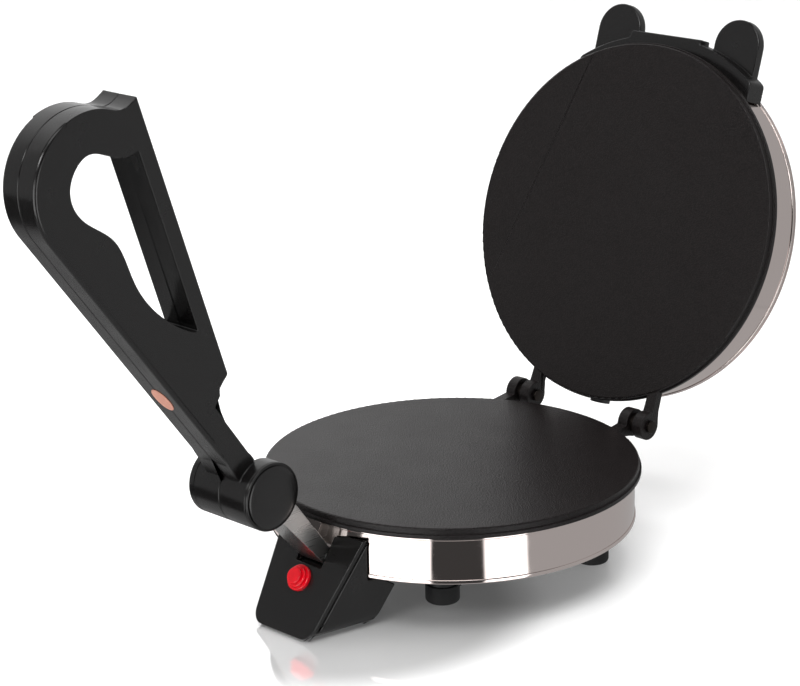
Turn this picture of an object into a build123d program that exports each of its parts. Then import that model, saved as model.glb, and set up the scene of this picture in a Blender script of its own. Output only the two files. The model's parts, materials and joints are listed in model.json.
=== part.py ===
"""Electric roti maker: two hinged heated plates and a folding press lever.

Frame: +X runs along the lid hinge, +Y from the lever at the front to the hinge at
the back, +Z up. Lengths are in millimetres. The model is drawn about the axis of
the lower plate, standing on z = 0, and is moved along Y at the end so that the
origin is the middle of the bottom of the whole object's box.
The rest pose has the lid open on its stop and the lever leaning out.
"""
import os
from math import asin, atan2, cos, degrees, hypot, pi, radians, sin, sqrt, tau

from build123d import *

os.makedirs("parts", exist_ok=True)

# ---- Driving dimensions ------------------------------------------------------
# Fits
running_fit = 0.05          # radial clearance of a pin in the bore that turns on it
screw_fit = 0.10            # radial clearance of a screw in its hole
side_play = 0.30            # gap between faces that move past each other
seat_gap = 0.05             # gap between curved faces held together
cut_clear = 0.8             # clearance of holes that only let something past
bore_spare = 1.0            # how much deeper a blind screw hole is than its screw
far_cut = 200.0             # longer than anything that is cut with it

# Cast plates
plate_r = 110.0             # cooking disc
disc_t = 3.6                # height of the disc's own wall, above the flange
disc_edge_r = 0.8
flange_out = 1.2            # how far the flange stands out past the disc
flange_t = 2.4
web_t = 7.0                 # thickness of the lower cast plate inside its rim
lid_web_t = 4.0             # the same for the upper plate
rim_wall = 8.0              # radial thickness of the rim
plate_gap = 0.7             # gap between the two cooking faces when shut

# Pressed steel cases
band_inset = 2.6            # how far the band lies inside the cooking disc's edge
shell_r = plate_r - band_inset
sheet_t = 0.5
shell_h = 28.0
bead_h = 2.4                # height of the rolled bead at each edge of the band
bead_out = 0.6              # how far a bead stands out
band_step = 5.6             # width of the inward lip under the base band
cover_corner_r = 4.0        # rounded edge of the lid cover

# Heating elements
element_ring_r = 72.0
element_r = 3.25
element_gap_deg = 34.0      # opening of the ring at its terminals
terminal_r = 1.6
terminal_len = 12.0

# Base
shell_bottom_z = 30.0       # height of the band's lower edge above the table
tray_t = 1.5
tray_lip_drop = 1.0         # how far the tray's edge steps down under the band
tray_lip_w = 3.0
rib_h = 4.0
rib_w = 1.6
rib_ring_r = 40.0
rib_count = 12

# Legs and feet
front_leg_in = 12.0         # how far inside the element's ring the front legs stand
front_leg_deg = -53.1301    # their direction from +X
rear_leg_out = 10.33        # how far outside the ring the rear legs stand
rear_leg_deg = 40.0725
leg_r = 8.8
leg_recess_r = 5.6
leg_recess_h = 20.0
foot_wall = 1.2
foot_floor = 4.0
foot_h = 11.0
foot_edge_r = 1.0

# Tie screws, from the legs up into the base casting and down into the lid casting
boss_r = 6.0
tie_r = 2.4
tie_grip = 15.0             # thread length inside a boss
tie_head_r = 4.4
tie_head_t = 3.0
cover_head_t = 2.2

# What presses the elements to the plates
clamp_t = 1.0
clamp_in_r = 34.0
clamp_reach = 3.8           # how far the ring plate reaches past the element's middle
clamp_boss_r = 5.0
clamp_boss_in = 26.0        # how far inside the element's ring its bosses stand
clamp_boss_count = 4
clamp_screw_r = 2.0
clamp_screw_grip = 7.0      # thread length inside a boss
clamp_head_r = 3.8
clamp_head_t = 2.4
insulation_inset = 9.4      # how far the board lies inside the band
insulation_t = 5.0

# Lid hinge
hinge_x = 45.2              # middle of each hinge, either side of the centre
hinge_out = 10.5            # how far the pins lie behind the band
lug_r = 8.5
lug_w = 7.0
lug_web_drop = 1.0          # how far the web's top stays below the cooking face
spacer_w = 3.7
spacer_r = 5.9
pin_r = 3.0
pin_head_r = 3.9
pin_head_t = 2.2
pin_tail = 2.6              # pin length past the lug, for its clip
clip_t = 1.2
clip_r = 5.0
lid_open_deg = 108.0

# Lid front bracket
bracket_w = 10.2             # how far the bracket's arc stands out from the band
pad_out = 10.6              # how far its middle pad does
bracket_bottom = 12.5       # above the lid's cooking face, lid shut
bracket_t = 10.0
bracket_half_w = 66.5
knob_in = 58.0              # from here outwards the arc is a taller knob
knob_t = 15.0
bracket_end_r = 3.6         # rounding of the arc's two ends
bracket_skirt_t = 3.0
bracket_skirt_h = 9.3
ear_x = 45.5
ear_w = 33.0
ear_out = 26.6              # how far the ears reach out from the band
ear_root = 17.4             # how far they start inside it
ear_corner_r = 16.3
ear_lift = 7.0              # from the bracket's lower face, lid shut
ear_t = 6.0
pad_left, pad_right = 33.0, 24.0                # ends of the pad between the ears
pad_taper = 3.4             # how much the left end slopes in, outwards
pad_t = 9.5
bracket_screw_x = 22.0
bracket_screw_r = 2.0
bracket_screw_len = 9.0
bracket_bore_len = 12.0
bracket_head_r = 3.8
bracket_head_t = 2.2

# Front housing
# Places along Y are given from the front of the band, outwards
housing_bottom_z = 1.6
housing_front = 35.1
housing_top = -0.9
housing_top_z = 52.5
housing_front_half_w = 22.6
housing_flare = 0.2366      # widening of each side for every millimetre towards the back
housing_toe = -6.7          # back end of the bottom edge
housing_heel = -21.4        # back end of the ledge under the base
housing_heel_z = 22.0
housing_back = -12.0        # where the top runs under the band
housing_corner_r = 6.5      # rounding between its bottom and its sides
housing_wall = 2.6
panel_t = 2.4
panel_groove = 0.8          # width and depth of the line behind the panel, on the sides
cavity_top_z = 31.0
cavity_step_z = 18.0        # the cavity's roof under the band
floor_t = 2.0
floor_back = -3.4

# Indicator
lens_z = 27.4               # height of the lens centre on the sloping panel
lens_r = 7.6
lens_x = -1.6               # how far the lens lies from the middle of the panel
lens_step = 1.5             # each ring of the lens is smaller by this radius
lens_step_h = 2.0
lens_rings = 3
lens_stem_r = 5.0
lens_stem_len = 7.0
lens_floor_t = 1.0          # how much of the stem is left solid behind the rings
lamp_r = 3.0
lamp_len = 11.0
lamp_sink = 1.5
lens_nut_r = 7.4
lens_nut_t = 2.4

# Press lever
arm_pivot_out, arm_pivot_z = 5.1, 39.5
hub_out, hub_z = 56.6, 93.5
arm_mid_out, arm_mid_z = 32.3, 72.5
arm_half_w = 9.5            # half the width of the channel
arm_sheet = 2.0
arm_end_r = 4.4
arm_mid_r = 6.5
arm_eye_r = 10.5
slot_clear = 0.7
slot_bottom_z = 34.6
slot_back = -14.0
arm_pin_r = 2.2
arm_pin_grip = 5.0
arm_swing_deg = 17.0
handle_swing_deg = 91.0

# Handle
handle_half_t = 13.0        # half the thickness of the grip
hub_r = 19.1
hub_half_len = 20.2         # moulded hub, without its end caps
hub_mouth_from, hub_mouth_to = -84.0, 96.0      # degrees above +Y, open for the arm
hub_hollow_r = 14.8         # room inside the hub for the arm's eye
mouth_steps = 4
mouth_reach = 2.0           # how far the mouth cuts past the hub's round
cap_t = 3.4
cap_left_t = 6.0            # the left cap is thicker
cap_rim_t = 1.7             # how far the cap's middle rises above its rim
cap_edge = 0.4              # small slope round the rim
cap_rim_w = 1.1             # width of the rim outside the ring groove
cap_groove_w = 0.6
cap_groove_t = 0.5
hub_bolt_r = 4.0
hub_bolt_head_r = 7.0
hub_bolt_head_t = 4.0
hub_nut_t = 4.5
hub_nut_r = 6.6             # across the nut's corners, as a radius
hub_end_room = 0.5          # room round and behind the bolt's head and nut
hub_sleeve_t = 1.0
grip_edge_r = 2.2           # rounding along the grip's back and heel
grip_edge_end_y = -116.0    # where that rounding stops, from the hub
grip_step_r = 2.0
grip_heel_r = 38.5          # big round at the top of the grip's back
grip_heel_at = (-99.5, 188.5)
# The grip's outline and its finger opening, as (y, z) from the hub's centre
grip_back_foot = (-21.4, 20.7)
grip_saddle = [(-90.0, 225.6), (-82.0, 223.9)]
grip_nose = (-71.8, 229.0)
grip_shoulder = [(-20.0, 72.5), (-23.5, 69.0), (-26.0, 66.0), (-26.0, 62.0), (-30.0, 56.5)]
grip_neck = [(-5.0, 21.5), (0.0, 8.0), (-14.0, 8.0)]
opening_start = (-39.5, 101.0)
opening_curve = [(-72.5, 202.0), (-84.0, 200.0), (-104.0, 205.0), (-116.0, 190.0),
                 (-111.0, 175.5), (-91.0, 160.0), (-79.0, 135.0), (-56.0, 108.5),
                 (-41.5, 100.5)]
grip_screws = [(-28.0, 78.0), (-64.0, 112.0), (-126.0, 178.0), (-84.0, 212.5)]
handle_screw_r = 1.9
handle_screw_head_r = 3.4
handle_screw_head_t = 2.0
handle_screw_sink = 3.0
handle_screw_bite = 9.0
badge_len, badge_w, badge_t = 17.0, 12.0, 0.4
badge_along = 55.0          # from the foot of the neck, up the grip's back

# Electrical parts in the base
thermostat_r, thermostat_h = 8.0, 9.0
thermostat_y = 18.0
tab_x, tab_w, tab_d, tab_h = 5.0, 1.0, 6.0, 6.0
block_w, block_d, block_h = 34.0, 12.0, 12.0
block_y = 62.0
way_count, way_pitch = 3, 11.0
way_r, way_z = 1.8, 5.0     # the wire holes and their height on the block
way_screw_r, way_screw_depth = 2.2, 4.0
fuse_r, fuse_len = 2.6, 24.0
fuse_x = -22.0
fuse_lead_r, fuse_lead_len = 0.7, 9.0
gland_z = 46.0
cord_turn = -16.0           # degrees from the middle of the back to the mains inlet
gland_r = 6.2
gland_bore_r = 3.6
gland_flange_r = 8.6
gland_flange_t = 1.8
gland_nut_t = 2.0
gland_len = 18.0
link_gland_len = 9.0

# ---- Worked-out sizes --------------------------------------------------------
flange_r = plate_r + flange_out
hinge_y = shell_r + hinge_out
clamp_out_r = element_ring_r + clamp_reach
clamp_boss_ring_r = element_ring_r - clamp_boss_in
insulation_r = shell_r - insulation_inset
housing_front_y = -shell_r - housing_front
housing_top_y = -shell_r - housing_top
housing_toe_y = -shell_r - housing_toe
housing_heel_y = -shell_r - housing_heel
housing_back_y = -shell_r - housing_back
floor_back_y = -shell_r - floor_back
arm_pivot_y = -shell_r - arm_pivot_out
arm_mid_y = -shell_r - arm_mid_out
hub_y = -shell_r - hub_out
slot_back_y = -shell_r - slot_back
flange_bottom_z = shell_bottom_z + shell_h
plate_top_z = flange_bottom_z + flange_t + disc_t
boss_end_z = shell_bottom_z + sheet_t
hinge_z = plate_top_z + plate_gap / 2
lug_off = lug_w / 2 + (spacer_w + side_play) / 2
tray_low_z = shell_bottom_z - tray_lip_drop
leg_places = [(element_ring_r - front_leg_in, front_leg_deg), (element_ring_r + rear_leg_out, rear_leg_deg)]
leg_points = [(sx * r * cos(radians(a)), r * sin(radians(a))) for r, a in leg_places for sx in (-1, 1)]
clamp_angles = [45 + 360 / clamp_boss_count * i for i in range(clamp_boss_count)]
clamp_points = [(clamp_boss_ring_r * cos(radians(a)), clamp_boss_ring_r * sin(radians(a)))
                for a in clamp_angles]
element_ends = [(element_ring_r * cos(radians(90 + side * element_gap_deg / 2)),
                 element_ring_r * sin(radians(90 + side * element_gap_deg / 2)))
                for side in (-1, 1)]
housing_slope = degrees(atan2(housing_top_z - housing_bottom_z, housing_top_y - housing_front_y))
handle_screw_points = [(hub_y + y, hub_z + z) for y, z in grip_screws]
mirror_axis = Axis((0, 0, hinge_z), (0, 1, 0))
lid_axis = Axis((0, hinge_y, hinge_z), (1, 0, 0))
hub_seat_x = hub_half_len - max(hub_bolt_head_t, hub_nut_t) - hub_end_room
screw_seat_x = -handle_half_t + handle_screw_sink + handle_screw_head_t


# ---- Small helpers -----------------------------------------------------------
def rod(r, length, x=0.0, y=0.0, z=0.0):
    """A cylinder standing on z."""
    return Pos(x, y, z) * Cylinder(r, length, align=(Align.CENTER, Align.CENTER, Align.MIN))


def drill(r, x, y):
    """An upright cylinder through the whole base, for through holes."""
    return rod(r, plate_top_z, x, y)


def rod_x(r, x0, x1, y, z):
    """A cylinder along X from x0 to x1."""
    bar = Rot(0, 90, 0) * Cylinder(r, x1 - x0, align=(Align.CENTER, Align.CENTER, Align.MIN))
    return Pos(x0, y, z) * bar


def block(x0, x1, y0, y1, z0, z1):
    """A box between two corners."""
    return Pos((x0 + x1) / 2, (y0 + y1) / 2, (z0 + z1) / 2) * Box(x1 - x0, y1 - y0, z1 - z0)


def slab(face_yz, x0, x1):
    """Extrude a face drawn in (y, z) from x0 to x1."""
    return Pos(x0, 0, 0) * extrude(Plane.YZ * face_yz, x1 - x0)


def outline(points):
    """A flat face from its corner points."""
    return make_face(Polyline(*points, close=True))


def hull_of(circles):
    """The face that wraps circles given as (y, z, r)."""
    return make_hull([Pos(y, z) * Circle(r).edge() for y, z, r in circles])


def turned(points):
    """Revolve an (r, z) outline about the plate axis."""
    return revolve(Plane.XZ * outline(points), Axis.Z, 360)


def to_lid(shape):
    """Flip a base piece over into the shut lid."""
    return shape.rotate(mirror_axis, 180)


def at_hub(points):
    """Points given from the hub centre, moved to their place."""
    return [(hub_y + y, hub_z + z) for y, z in points]


def open_lid(shape):
    """Swing a piece of the shut lid to its open rest pose."""
    return shape.rotate(lid_axis, -lid_open_deg)


def web_bottom_z(web):
    """Height of the underside of a plate, whose thickness inside its rim is web."""
    return plate_top_z - web


def element_z(web):
    """Height of the element's centre line under a plate."""
    return web_bottom_z(web) - seat_gap - element_r


def clamp_top_z(web):
    """Height of the clamp ring's upper face, against the element."""
    return element_z(web) - element_r - seat_gap


# ---- Castings ----------------------------------------------------------------
def hinge_lug(x_mid):
    """One cast lug, with its web running in under the flange."""
    y_in = flange_r - 2 * rim_wall
    y_band = shell_r + bead_out + side_play
    web = outline([(y_in, flange_bottom_z), (y_band, flange_bottom_z),
                   (hinge_y, hinge_z - lug_r), (hinge_y, hinge_z),
                   (hinge_y - lug_r, hinge_z), (y_in, plate_top_z - lug_web_drop)])
    lug = web + Pos(hinge_y, hinge_z) * Circle(lug_r)
    return slab(lug, x_mid - lug_w / 2, x_mid + lug_w / 2)


def casting(bore_r, web):
    """A plate casting, cooking face up, with lugs left of each hinge's middle."""
    low, clamp_z = web_bottom_z(web), clamp_top_z(web)
    body = turned([(0, low), (flange_r - rim_wall, low),
                   (flange_r - rim_wall, flange_bottom_z), (flange_r, flange_bottom_z),
                   (flange_r, flange_bottom_z + flange_t), (plate_r, flange_bottom_z + flange_t),
                   (plate_r, plate_top_z), (0, plate_top_z)])
    body = fillet(body.edges().group_by(Axis.Z)[-1], disc_edge_r)
    for side in (-1, 1):
        x_mid = side * hinge_x - lug_off
        body += hinge_lug(x_mid)
        body -= rod_x(bore_r, x_mid - lug_w, x_mid + lug_w, hinge_y, hinge_z)
    for x, y in leg_points:
        body += rod(boss_r, low - boss_end_z, x, y, boss_end_z)
        body -= rod(tie_r + screw_fit, tie_grip + bore_spare, x, y, boss_end_z)
    for x, y in clamp_points:
        body += rod(clamp_boss_r, low - clamp_z, x, y, clamp_z)
        body -= rod(clamp_screw_r + screw_fit, clamp_screw_grip + bore_spare, x, y, clamp_z)
    return body


def element(web):
    """A sheathed tube element, open at the back, with its two terminals turned down."""
    start = 90 + element_gap_deg / 2
    arc = CenterArc((0, 0), element_ring_r, start, 360 - element_gap_deg)
    path = Pos(0, 0, element_z(web)) * arc
    tube = sweep(Plane(origin=path @ 0, z_dir=path % 0) * Circle(element_r), path=path)
    for x, y in element_ends:
        tube += Pos(x, y, element_z(web)) * Sphere(element_r)
        tube += rod(terminal_r, terminal_len, x, y, element_z(web) - terminal_len)
    return tube


def clamp_plate(web):
    """The steel ring that presses the element against the plate."""
    ring = rod(clamp_out_r, clamp_t, z=clamp_top_z(web) - clamp_t) - drill(clamp_in_r, 0, 0)
    for x, y in leg_points:
        ring -= drill(boss_r + cut_clear, x, y)
    for x, y in clamp_points:
        ring -= drill(clamp_screw_r + screw_fit, x, y)
    for x, y in element_ends:
        ring -= drill(element_r + cut_clear, x, y)
    return ring


def clamp_screws(web):
    """The screws that hold the clamp ring up to the plate's short bosses."""
    low = clamp_top_z(web) - clamp_t
    return [rod(clamp_head_r, clamp_head_t, x, y, low - clamp_head_t)
            + rod(clamp_screw_r, clamp_t + clamp_screw_grip, x, y, low) for x, y in clamp_points]


def insulation():
    """The mineral board that keeps heat off the case."""
    board = rod(insulation_r, insulation_t, z=boss_end_z)
    for x, y in leg_points:
        board -= drill(boss_r + cut_clear, x, y)
    return board


# ---- Cases -------------------------------------------------------------------
def band_outline(low, foot):
    """The (r, z) outline of a band with a bead at each edge; foot closes it below low."""
    top = flange_bottom_z
    r_bead = shell_r + bead_out
    wall = [(shell_r - sheet_t, top), (r_bead, top), (r_bead, top - bead_h),
            (shell_r, top - bead_h - bead_out), (shell_r, low + bead_h + bead_out),
            (r_bead, low + bead_h)]
    return wall + foot


def base_shell():
    """The polished band round the base, with an inward lip that the tray holds."""
    r_lip = shell_r - band_step - sheet_t
    foot = [(shell_r + bead_out, shell_bottom_z), (r_lip, shell_bottom_z),
            (r_lip, boss_end_z), (shell_r - sheet_t, boss_end_z)]
    band = turned(band_outline(shell_bottom_z, foot))
    return band - gland_hole(0) - gland_hole(cord_turn)


def lid_cover():
    """The polished pressed cover of the lid, drawn as if on the base."""
    corner_z = shell_bottom_z + cover_corner_r
    r_top = shell_r + bead_out - cover_corner_r
    foot = [(shell_r + bead_out, corner_z), (r_top, shell_bottom_z), (0, shell_bottom_z),
            (0, boss_end_z), (r_top, boss_end_z), (shell_r - sheet_t, corner_z)]
    pan = turned(band_outline(corner_z, foot))
    for x, y in leg_points:
        pan -= drill(tie_r + screw_fit, x, y)
    for x in (-bracket_screw_x, bracket_screw_x):
        pan -= bracket_screw_bore(x, bracket_screw_r + screw_fit)
    return pan - gland_hole(0)


def base_tray():
    """The black pan that closes the base from below, stiffened by ribs."""
    r_in = shell_r - band_step - sheet_t - seat_gap
    r_out, r_floor = r_in + tray_lip_w, r_in - tray_lip_w
    floor_z = boss_end_z - tray_t
    pan = turned([(0, floor_z), (r_floor, floor_z), (r_floor, tray_low_z - seat_gap),
                  (r_out, tray_low_z - seat_gap), (r_out, shell_bottom_z),
                  (r_in, shell_bottom_z), (r_in, boss_end_z), (0, boss_end_z)])
    rib_z = floor_z - rib_h
    rib = block(rib_ring_r - rib_w, r_floor, -rib_w / 2, rib_w / 2, rib_z, floor_z)
    for i in range(rib_count):
        pan += Rot(0, 0, 360 / rib_count * (i + 0.5)) * rib
    pan += rod(rib_ring_r, rib_h, z=rib_z) - rod(rib_ring_r - rib_w, rib_h, z=rib_z)
    for x, y in leg_points:
        pan -= rod(leg_r + seat_gap, floor_z, x, y)
        pan -= drill(tie_r + screw_fit, x, y)
    return pan - housing_room()


def housing_room():
    """The space that the front housing takes out of the tray's ribs."""
    return slab(housing_side(side_play), -far_cut, far_cut)


# ---- Legs --------------------------------------------------------------------
def leg_posts():
    """Four hollow posts between the tray and the rubber feet."""
    height = boss_end_z - tray_t - foot_floor
    posts = []
    for x, y in leg_points:
        post = rod(leg_r, height, x, y, foot_floor)
        post -= rod(leg_recess_r, leg_recess_h, x, y, foot_floor)
        posts.append(post - drill(tie_r + screw_fit, x, y))
    return posts


def rubber_feet():
    """Four rubber cups pushed over the posts."""
    cups = []
    for x, y in leg_points:
        cup = rod(leg_r + foot_wall, foot_h, x, y, 0)
        cup = fillet(cup.edges().group_by(Axis.Z)[0], foot_edge_r)
        cup -= rod(leg_r + seat_gap, foot_h, x, y, foot_floor)
        cups.append(cup)
    return cups


def tie_screws():
    """Long screws through the posts and the tray into the base casting."""
    seat = foot_floor + leg_recess_h
    length = boss_end_z - seat + tie_grip
    return [rod(tie_head_r, tie_head_t, x, y, seat - tie_head_t) + rod(tie_r, length, x, y, seat)
            for x, y in leg_points]


def cover_screws():
    """Screws through the lid cover into the lid casting, drawn as if on the base."""
    top = shell_bottom_z
    return [rod(tie_head_r, cover_head_t, x, y, top - cover_head_t)
            + rod(tie_r, sheet_t + tie_grip, x, y, top) for x, y in leg_points]


# ---- Hinge -------------------------------------------------------------------
def hinge_pins():
    """Headed pins, fixed in the base lugs, on which the lid lugs turn."""
    pins = []
    for side in (-1, 1):
        mid = side * hinge_x
        right = mid + lug_off + lug_w / 2 + side_play
        left = mid - lug_off - lug_w / 2 - pin_tail
        pin = rod_x(pin_r, left, right, hinge_y, hinge_z)
        pins.append(pin + rod_x(pin_head_r, right, right + pin_head_t, hinge_y, hinge_z))
    return pins


def hinge_spacers():
    """Steel washers on the pins, between the two lugs of each hinge."""
    rings = []
    for side in (-1, 1):
        x0 = side * hinge_x - lug_off + lug_w / 2
        ring = rod_x(spacer_r, x0, x0 + spacer_w, hinge_y, hinge_z)
        rings.append(ring - rod_x(pin_r + screw_fit, x0, x0 + spacer_w, hinge_y, hinge_z))
    return rings


def hinge_clips():
    """Clips on the pins' tails, against the base lugs."""
    clips = []
    for side in (-1, 1):
        x1 = side * hinge_x - lug_off - lug_w / 2 - seat_gap
        clip = rod_x(clip_r, x1 - clip_t, x1, hinge_y, hinge_z)
        clip -= rod_x(pin_r + seat_gap, x1 - clip_t, x1, hinge_y, hinge_z)
        clips.append(clip - block(x1 - clip_t, x1, hinge_y - pin_r / 2, hinge_y + pin_r / 2,
                                  hinge_z, hinge_z + clip_r))
    return clips


# ---- Lid bracket -------------------------------------------------------------
def bracket_z():
    """Height of the bracket's lower face, lid shut."""
    return plate_top_z + plate_gap + bracket_bottom


def bracket_screw_bore(x, r):
    """The screw hole through the band at x, drawn as if on the base."""
    z = 2 * hinge_z - bracket_z() - bracket_t - bracket_skirt_h / 2
    y = -sqrt(shell_r ** 2 - x ** 2)
    aim = Plane(origin=(x, y, z), z_dir=(x, y, 0))
    return aim * Cylinder(r, bracket_bore_len)


def bracket_span(half_w):
    """The stretch of the lid's front up to half_w either side of the middle, as a block."""
    far = 2 * shell_r
    return block(-half_w, half_w, -far, 0, 0, far)


def bracket_ear(side):
    """One rounded lifting ear."""
    middle = -shell_r - (ear_out - ear_root) / 2
    tab = Pos(side * ear_x, middle) * Rectangle(ear_w, ear_out + ear_root)
    tab = fillet(tab.vertices().group_by(Axis.Y)[0], ear_corner_r)
    return Pos(0, 0, bracket_z() + ear_lift) * extrude(tab, ear_t)


def lid_front_bracket():
    """The moulded bracket on the lid's front: an arc with two lifting ears."""
    low = bracket_z()
    in_r = shell_r + bead_out + seat_gap
    arc = rod(shell_r + bracket_w, bracket_t, z=low) & bracket_span(knob_in)
    arc += rod(in_r + bracket_skirt_t, bracket_skirt_h + bracket_t, z=low) & bracket_span(knob_in)
    knobs = rod(shell_r + bracket_w, knob_t, z=low) - rod(in_r, 2 * low)
    knobs = (knobs & bracket_span(bracket_half_w)) - bracket_span(knob_in)
    ends = knobs.edges().filter_by(Axis.Z).sort_by(lambda edge: abs(edge.center().X))[-4:]
    ends = ends.sort_by(lambda edge: hypot(edge.center().X, edge.center().Y))[-2:]
    body = arc + fillet(ends, bracket_end_r) + bracket_ear(-1) + bracket_ear(1)
    outer, inner = -shell_r - pad_out, -shell_r
    pad = outline([(-pad_left + pad_taper, outer), (pad_right, outer), (pad_right, inner),
                   (-pad_left, inner)])
    body += Pos(0, 0, low) * extrude(pad, pad_t)
    body -= rod(in_r, 2 * low)
    for x in (-bracket_screw_x, bracket_screw_x):
        body -= to_lid(bracket_screw_bore(x, bracket_screw_r + screw_fit))
    return body


def bracket_screws():
    """Two screws that hold the bracket to the lid cover, lid shut."""
    screws = []
    z = bracket_z() + bracket_t + bracket_skirt_h / 2
    face_r = shell_r + bead_out + seat_gap + bracket_skirt_t
    for x in (-bracket_screw_x, bracket_screw_x):
        y = -sqrt(shell_r ** 2 - x ** 2)
        start = Vector(x, y, 0).normalized() * (face_r + seat_gap)
        aim = Plane(origin=(start.X, start.Y, z), z_dir=(x, y, 0))
        head = aim * Pos(0, 0, bracket_head_t / 2) * Cylinder(bracket_head_r, bracket_head_t)
        stem = aim * Pos(0, 0, -bracket_screw_len / 2) * Cylinder(bracket_screw_r, bracket_screw_len)
        screws.append(head + stem)
    return screws


# ---- Front housing -----------------------------------------------------------
def housing_side(grow=0.0):
    """The housing's side outline in (y, z)."""
    g = grow
    return outline([(housing_front_y - g, housing_bottom_z - g),
                    (housing_top_y - g, housing_top_z + g), (housing_back_y, housing_top_z + g),
                    (housing_back_y, tray_low_z - cut_clear + g),
                    (housing_heel_y + g, housing_heel_z + g),
                    (housing_toe_y + g, housing_bottom_z - g)])


def half_width(y, inset=0.0):
    """Half the housing's width at y."""
    return housing_front_half_w + (y - housing_front_y) * housing_flare - inset


def housing_plan(inset=0.0):
    """The housing's plan, widening towards the back, as a tall block."""
    y0, y1 = housing_front_y, housing_heel_y + side_play
    w0, w1 = half_width(y0, inset), half_width(y1, inset)
    return extrude(outline([(-w0, y0), (w0, y0), (w1, y1), (-w1, y1)]), plate_top_z)


def housing_block():
    """The wedge's side outline, drawn out wider than the housing."""
    return slab(housing_side(), -far_cut, far_cut)


def housing_blank():
    """The housing before it is hollowed, rounded between its bottom and its sides."""
    body = housing_block() & housing_plan()
    sides = body.faces().sort_by(Axis.Z)[0].edges().sort_by(lambda edge: abs(edge.center().X))[-2:]
    return fillet(sides, housing_corner_r)


def slope_plane():
    """The plane of the sloping front, at its bottom edge, facing out."""
    a = radians(housing_slope)
    return Plane(origin=(0, housing_front_y, housing_bottom_z), x_dir=(1, 0, 0),
                 z_dir=(0, -sin(a), cos(a)))


def slope_slab(t0, t1):
    """The layer between depths t0 and t1 behind the sloping front."""
    return slope_plane() * Pos(0, 0, -(t0 + t1) / 2) * Box(far_cut, far_cut, t1 - t0)


def arm_slot():
    """The slot that the arm leaves the housing through."""
    w = arm_half_w + slot_clear
    return block(-w, w, housing_front_y, slot_back_y, slot_bottom_z, plate_top_z)


def lens_plane():
    """The plane of the lens seat on the panel, facing out."""
    along = (lens_z - housing_bottom_z) / sin(radians(housing_slope))
    return slope_plane() * Pos(lens_x, along, 0)


def housing_cavity():
    """The hollow behind the panel, lower where it runs under the band."""
    low, front = housing_bottom_z, housing_front_y
    body = housing_block() & housing_plan(housing_wall)
    body &= block(-far_cut, far_cut, front, housing_heel_y, low, cavity_top_z)
    body -= slope_slab(-far_cut, panel_t + 2 * seat_gap)
    return body - block(-far_cut, far_cut, -shell_r, 0, cavity_step_z, plate_top_z)


def lens_bore(r, depth):
    """A bore on the lens's axis, going in from the panel's face."""
    return lens_plane() * Pos(0, 0, -depth) * Cylinder(r, 2 * depth)


def pin_bore(r):
    """A blind bore on the arm's pivot, in both cheeks of the slot."""
    x = arm_half_w + slot_clear + arm_pin_grip
    return rod_x(r, -x, x, arm_pivot_y, arm_pivot_z)


def front_housing():
    """The hollow moulded wedge that carries the arm and the indicator."""
    body = housing_blank()
    body -= rod(shell_r + bead_out + side_play, plate_top_z, z=tray_low_z - side_play)
    body -= slope_slab(-far_cut, panel_t + seat_gap)
    body -= slope_slab(panel_t, panel_t + panel_groove) - housing_plan(panel_groove)
    body -= housing_cavity()
    body -= arm_slot()
    body -= lens_bore(lens_nut_r + cut_clear, panel_t + lens_nut_t + cut_clear)
    body -= lens_bore(lens_stem_r + cut_clear, lamp_sink + lamp_len + cut_clear)
    return body - pin_bore(arm_pin_r + seat_gap)


def housing_front_panel():
    """The sloping front panel, cut for the arm and the indicator."""
    body = housing_blank() & slope_slab(0, panel_t)
    body -= arm_slot()
    body -= rod(shell_r + bead_out + side_play, plate_top_z, z=tray_low_z)
    body -= pin_bore(arm_pin_r + screw_fit)
    return body - lens_bore(lens_stem_r + screw_fit, 2 * panel_t)


def housing_floor():
    """The plate that closes the housing from below."""
    top = housing_bottom_z + floor_t
    body = housing_blank() & housing_plan(housing_wall + seat_gap)
    body &= block(-far_cut, far_cut, housing_front_y, floor_back_y, housing_bottom_z, top)
    return body - slope_slab(-far_cut, panel_t + 3 * seat_gap)


def indicator_lens():
    """The red lens: stepped rings on a stem through the panel."""
    seat = lens_plane()
    body = seat * Pos(0, 0, -lens_stem_len / 2) * Cylinder(lens_stem_r, lens_stem_len)
    hollow = lens_stem_len - lens_floor_t
    body -= seat * Pos(0, 0, -lens_stem_len) * Cylinder(lamp_r + cut_clear, 2 * hollow)
    for i in range(lens_rings):
        ring = Cylinder(lens_r - i * lens_step, lens_step_h)
        body += seat * Pos(0, 0, (i + 0.5) * lens_step_h) * ring
    return body


def lens_nut():
    """The nut that holds the lens behind the panel."""
    ring = Cylinder(lens_nut_r, lens_nut_t) - Cylinder(lens_stem_r + screw_fit, lens_nut_t)
    return lens_plane() * Pos(0, 0, -panel_t - lens_nut_t / 2 - seat_gap) * ring


def neon_lamp():
    """The neon lamp inside the lens stem."""
    return lens_plane() * Pos(0, 0, -lamp_sink - lamp_len / 2) * Cylinder(lamp_r, lamp_len)


# ---- Arm ---------------------------------------------------------------------
def arm_face(shrink=0.0):
    """The arm's side outline in (y, z)."""
    low = (arm_pivot_y, arm_pivot_z, arm_end_r - shrink)
    mid = (arm_mid_y, arm_mid_z, arm_mid_r - shrink)
    top = (hub_y, hub_z, arm_eye_r - shrink)
    return hull_of([low, mid]) + hull_of([mid, top])


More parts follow.
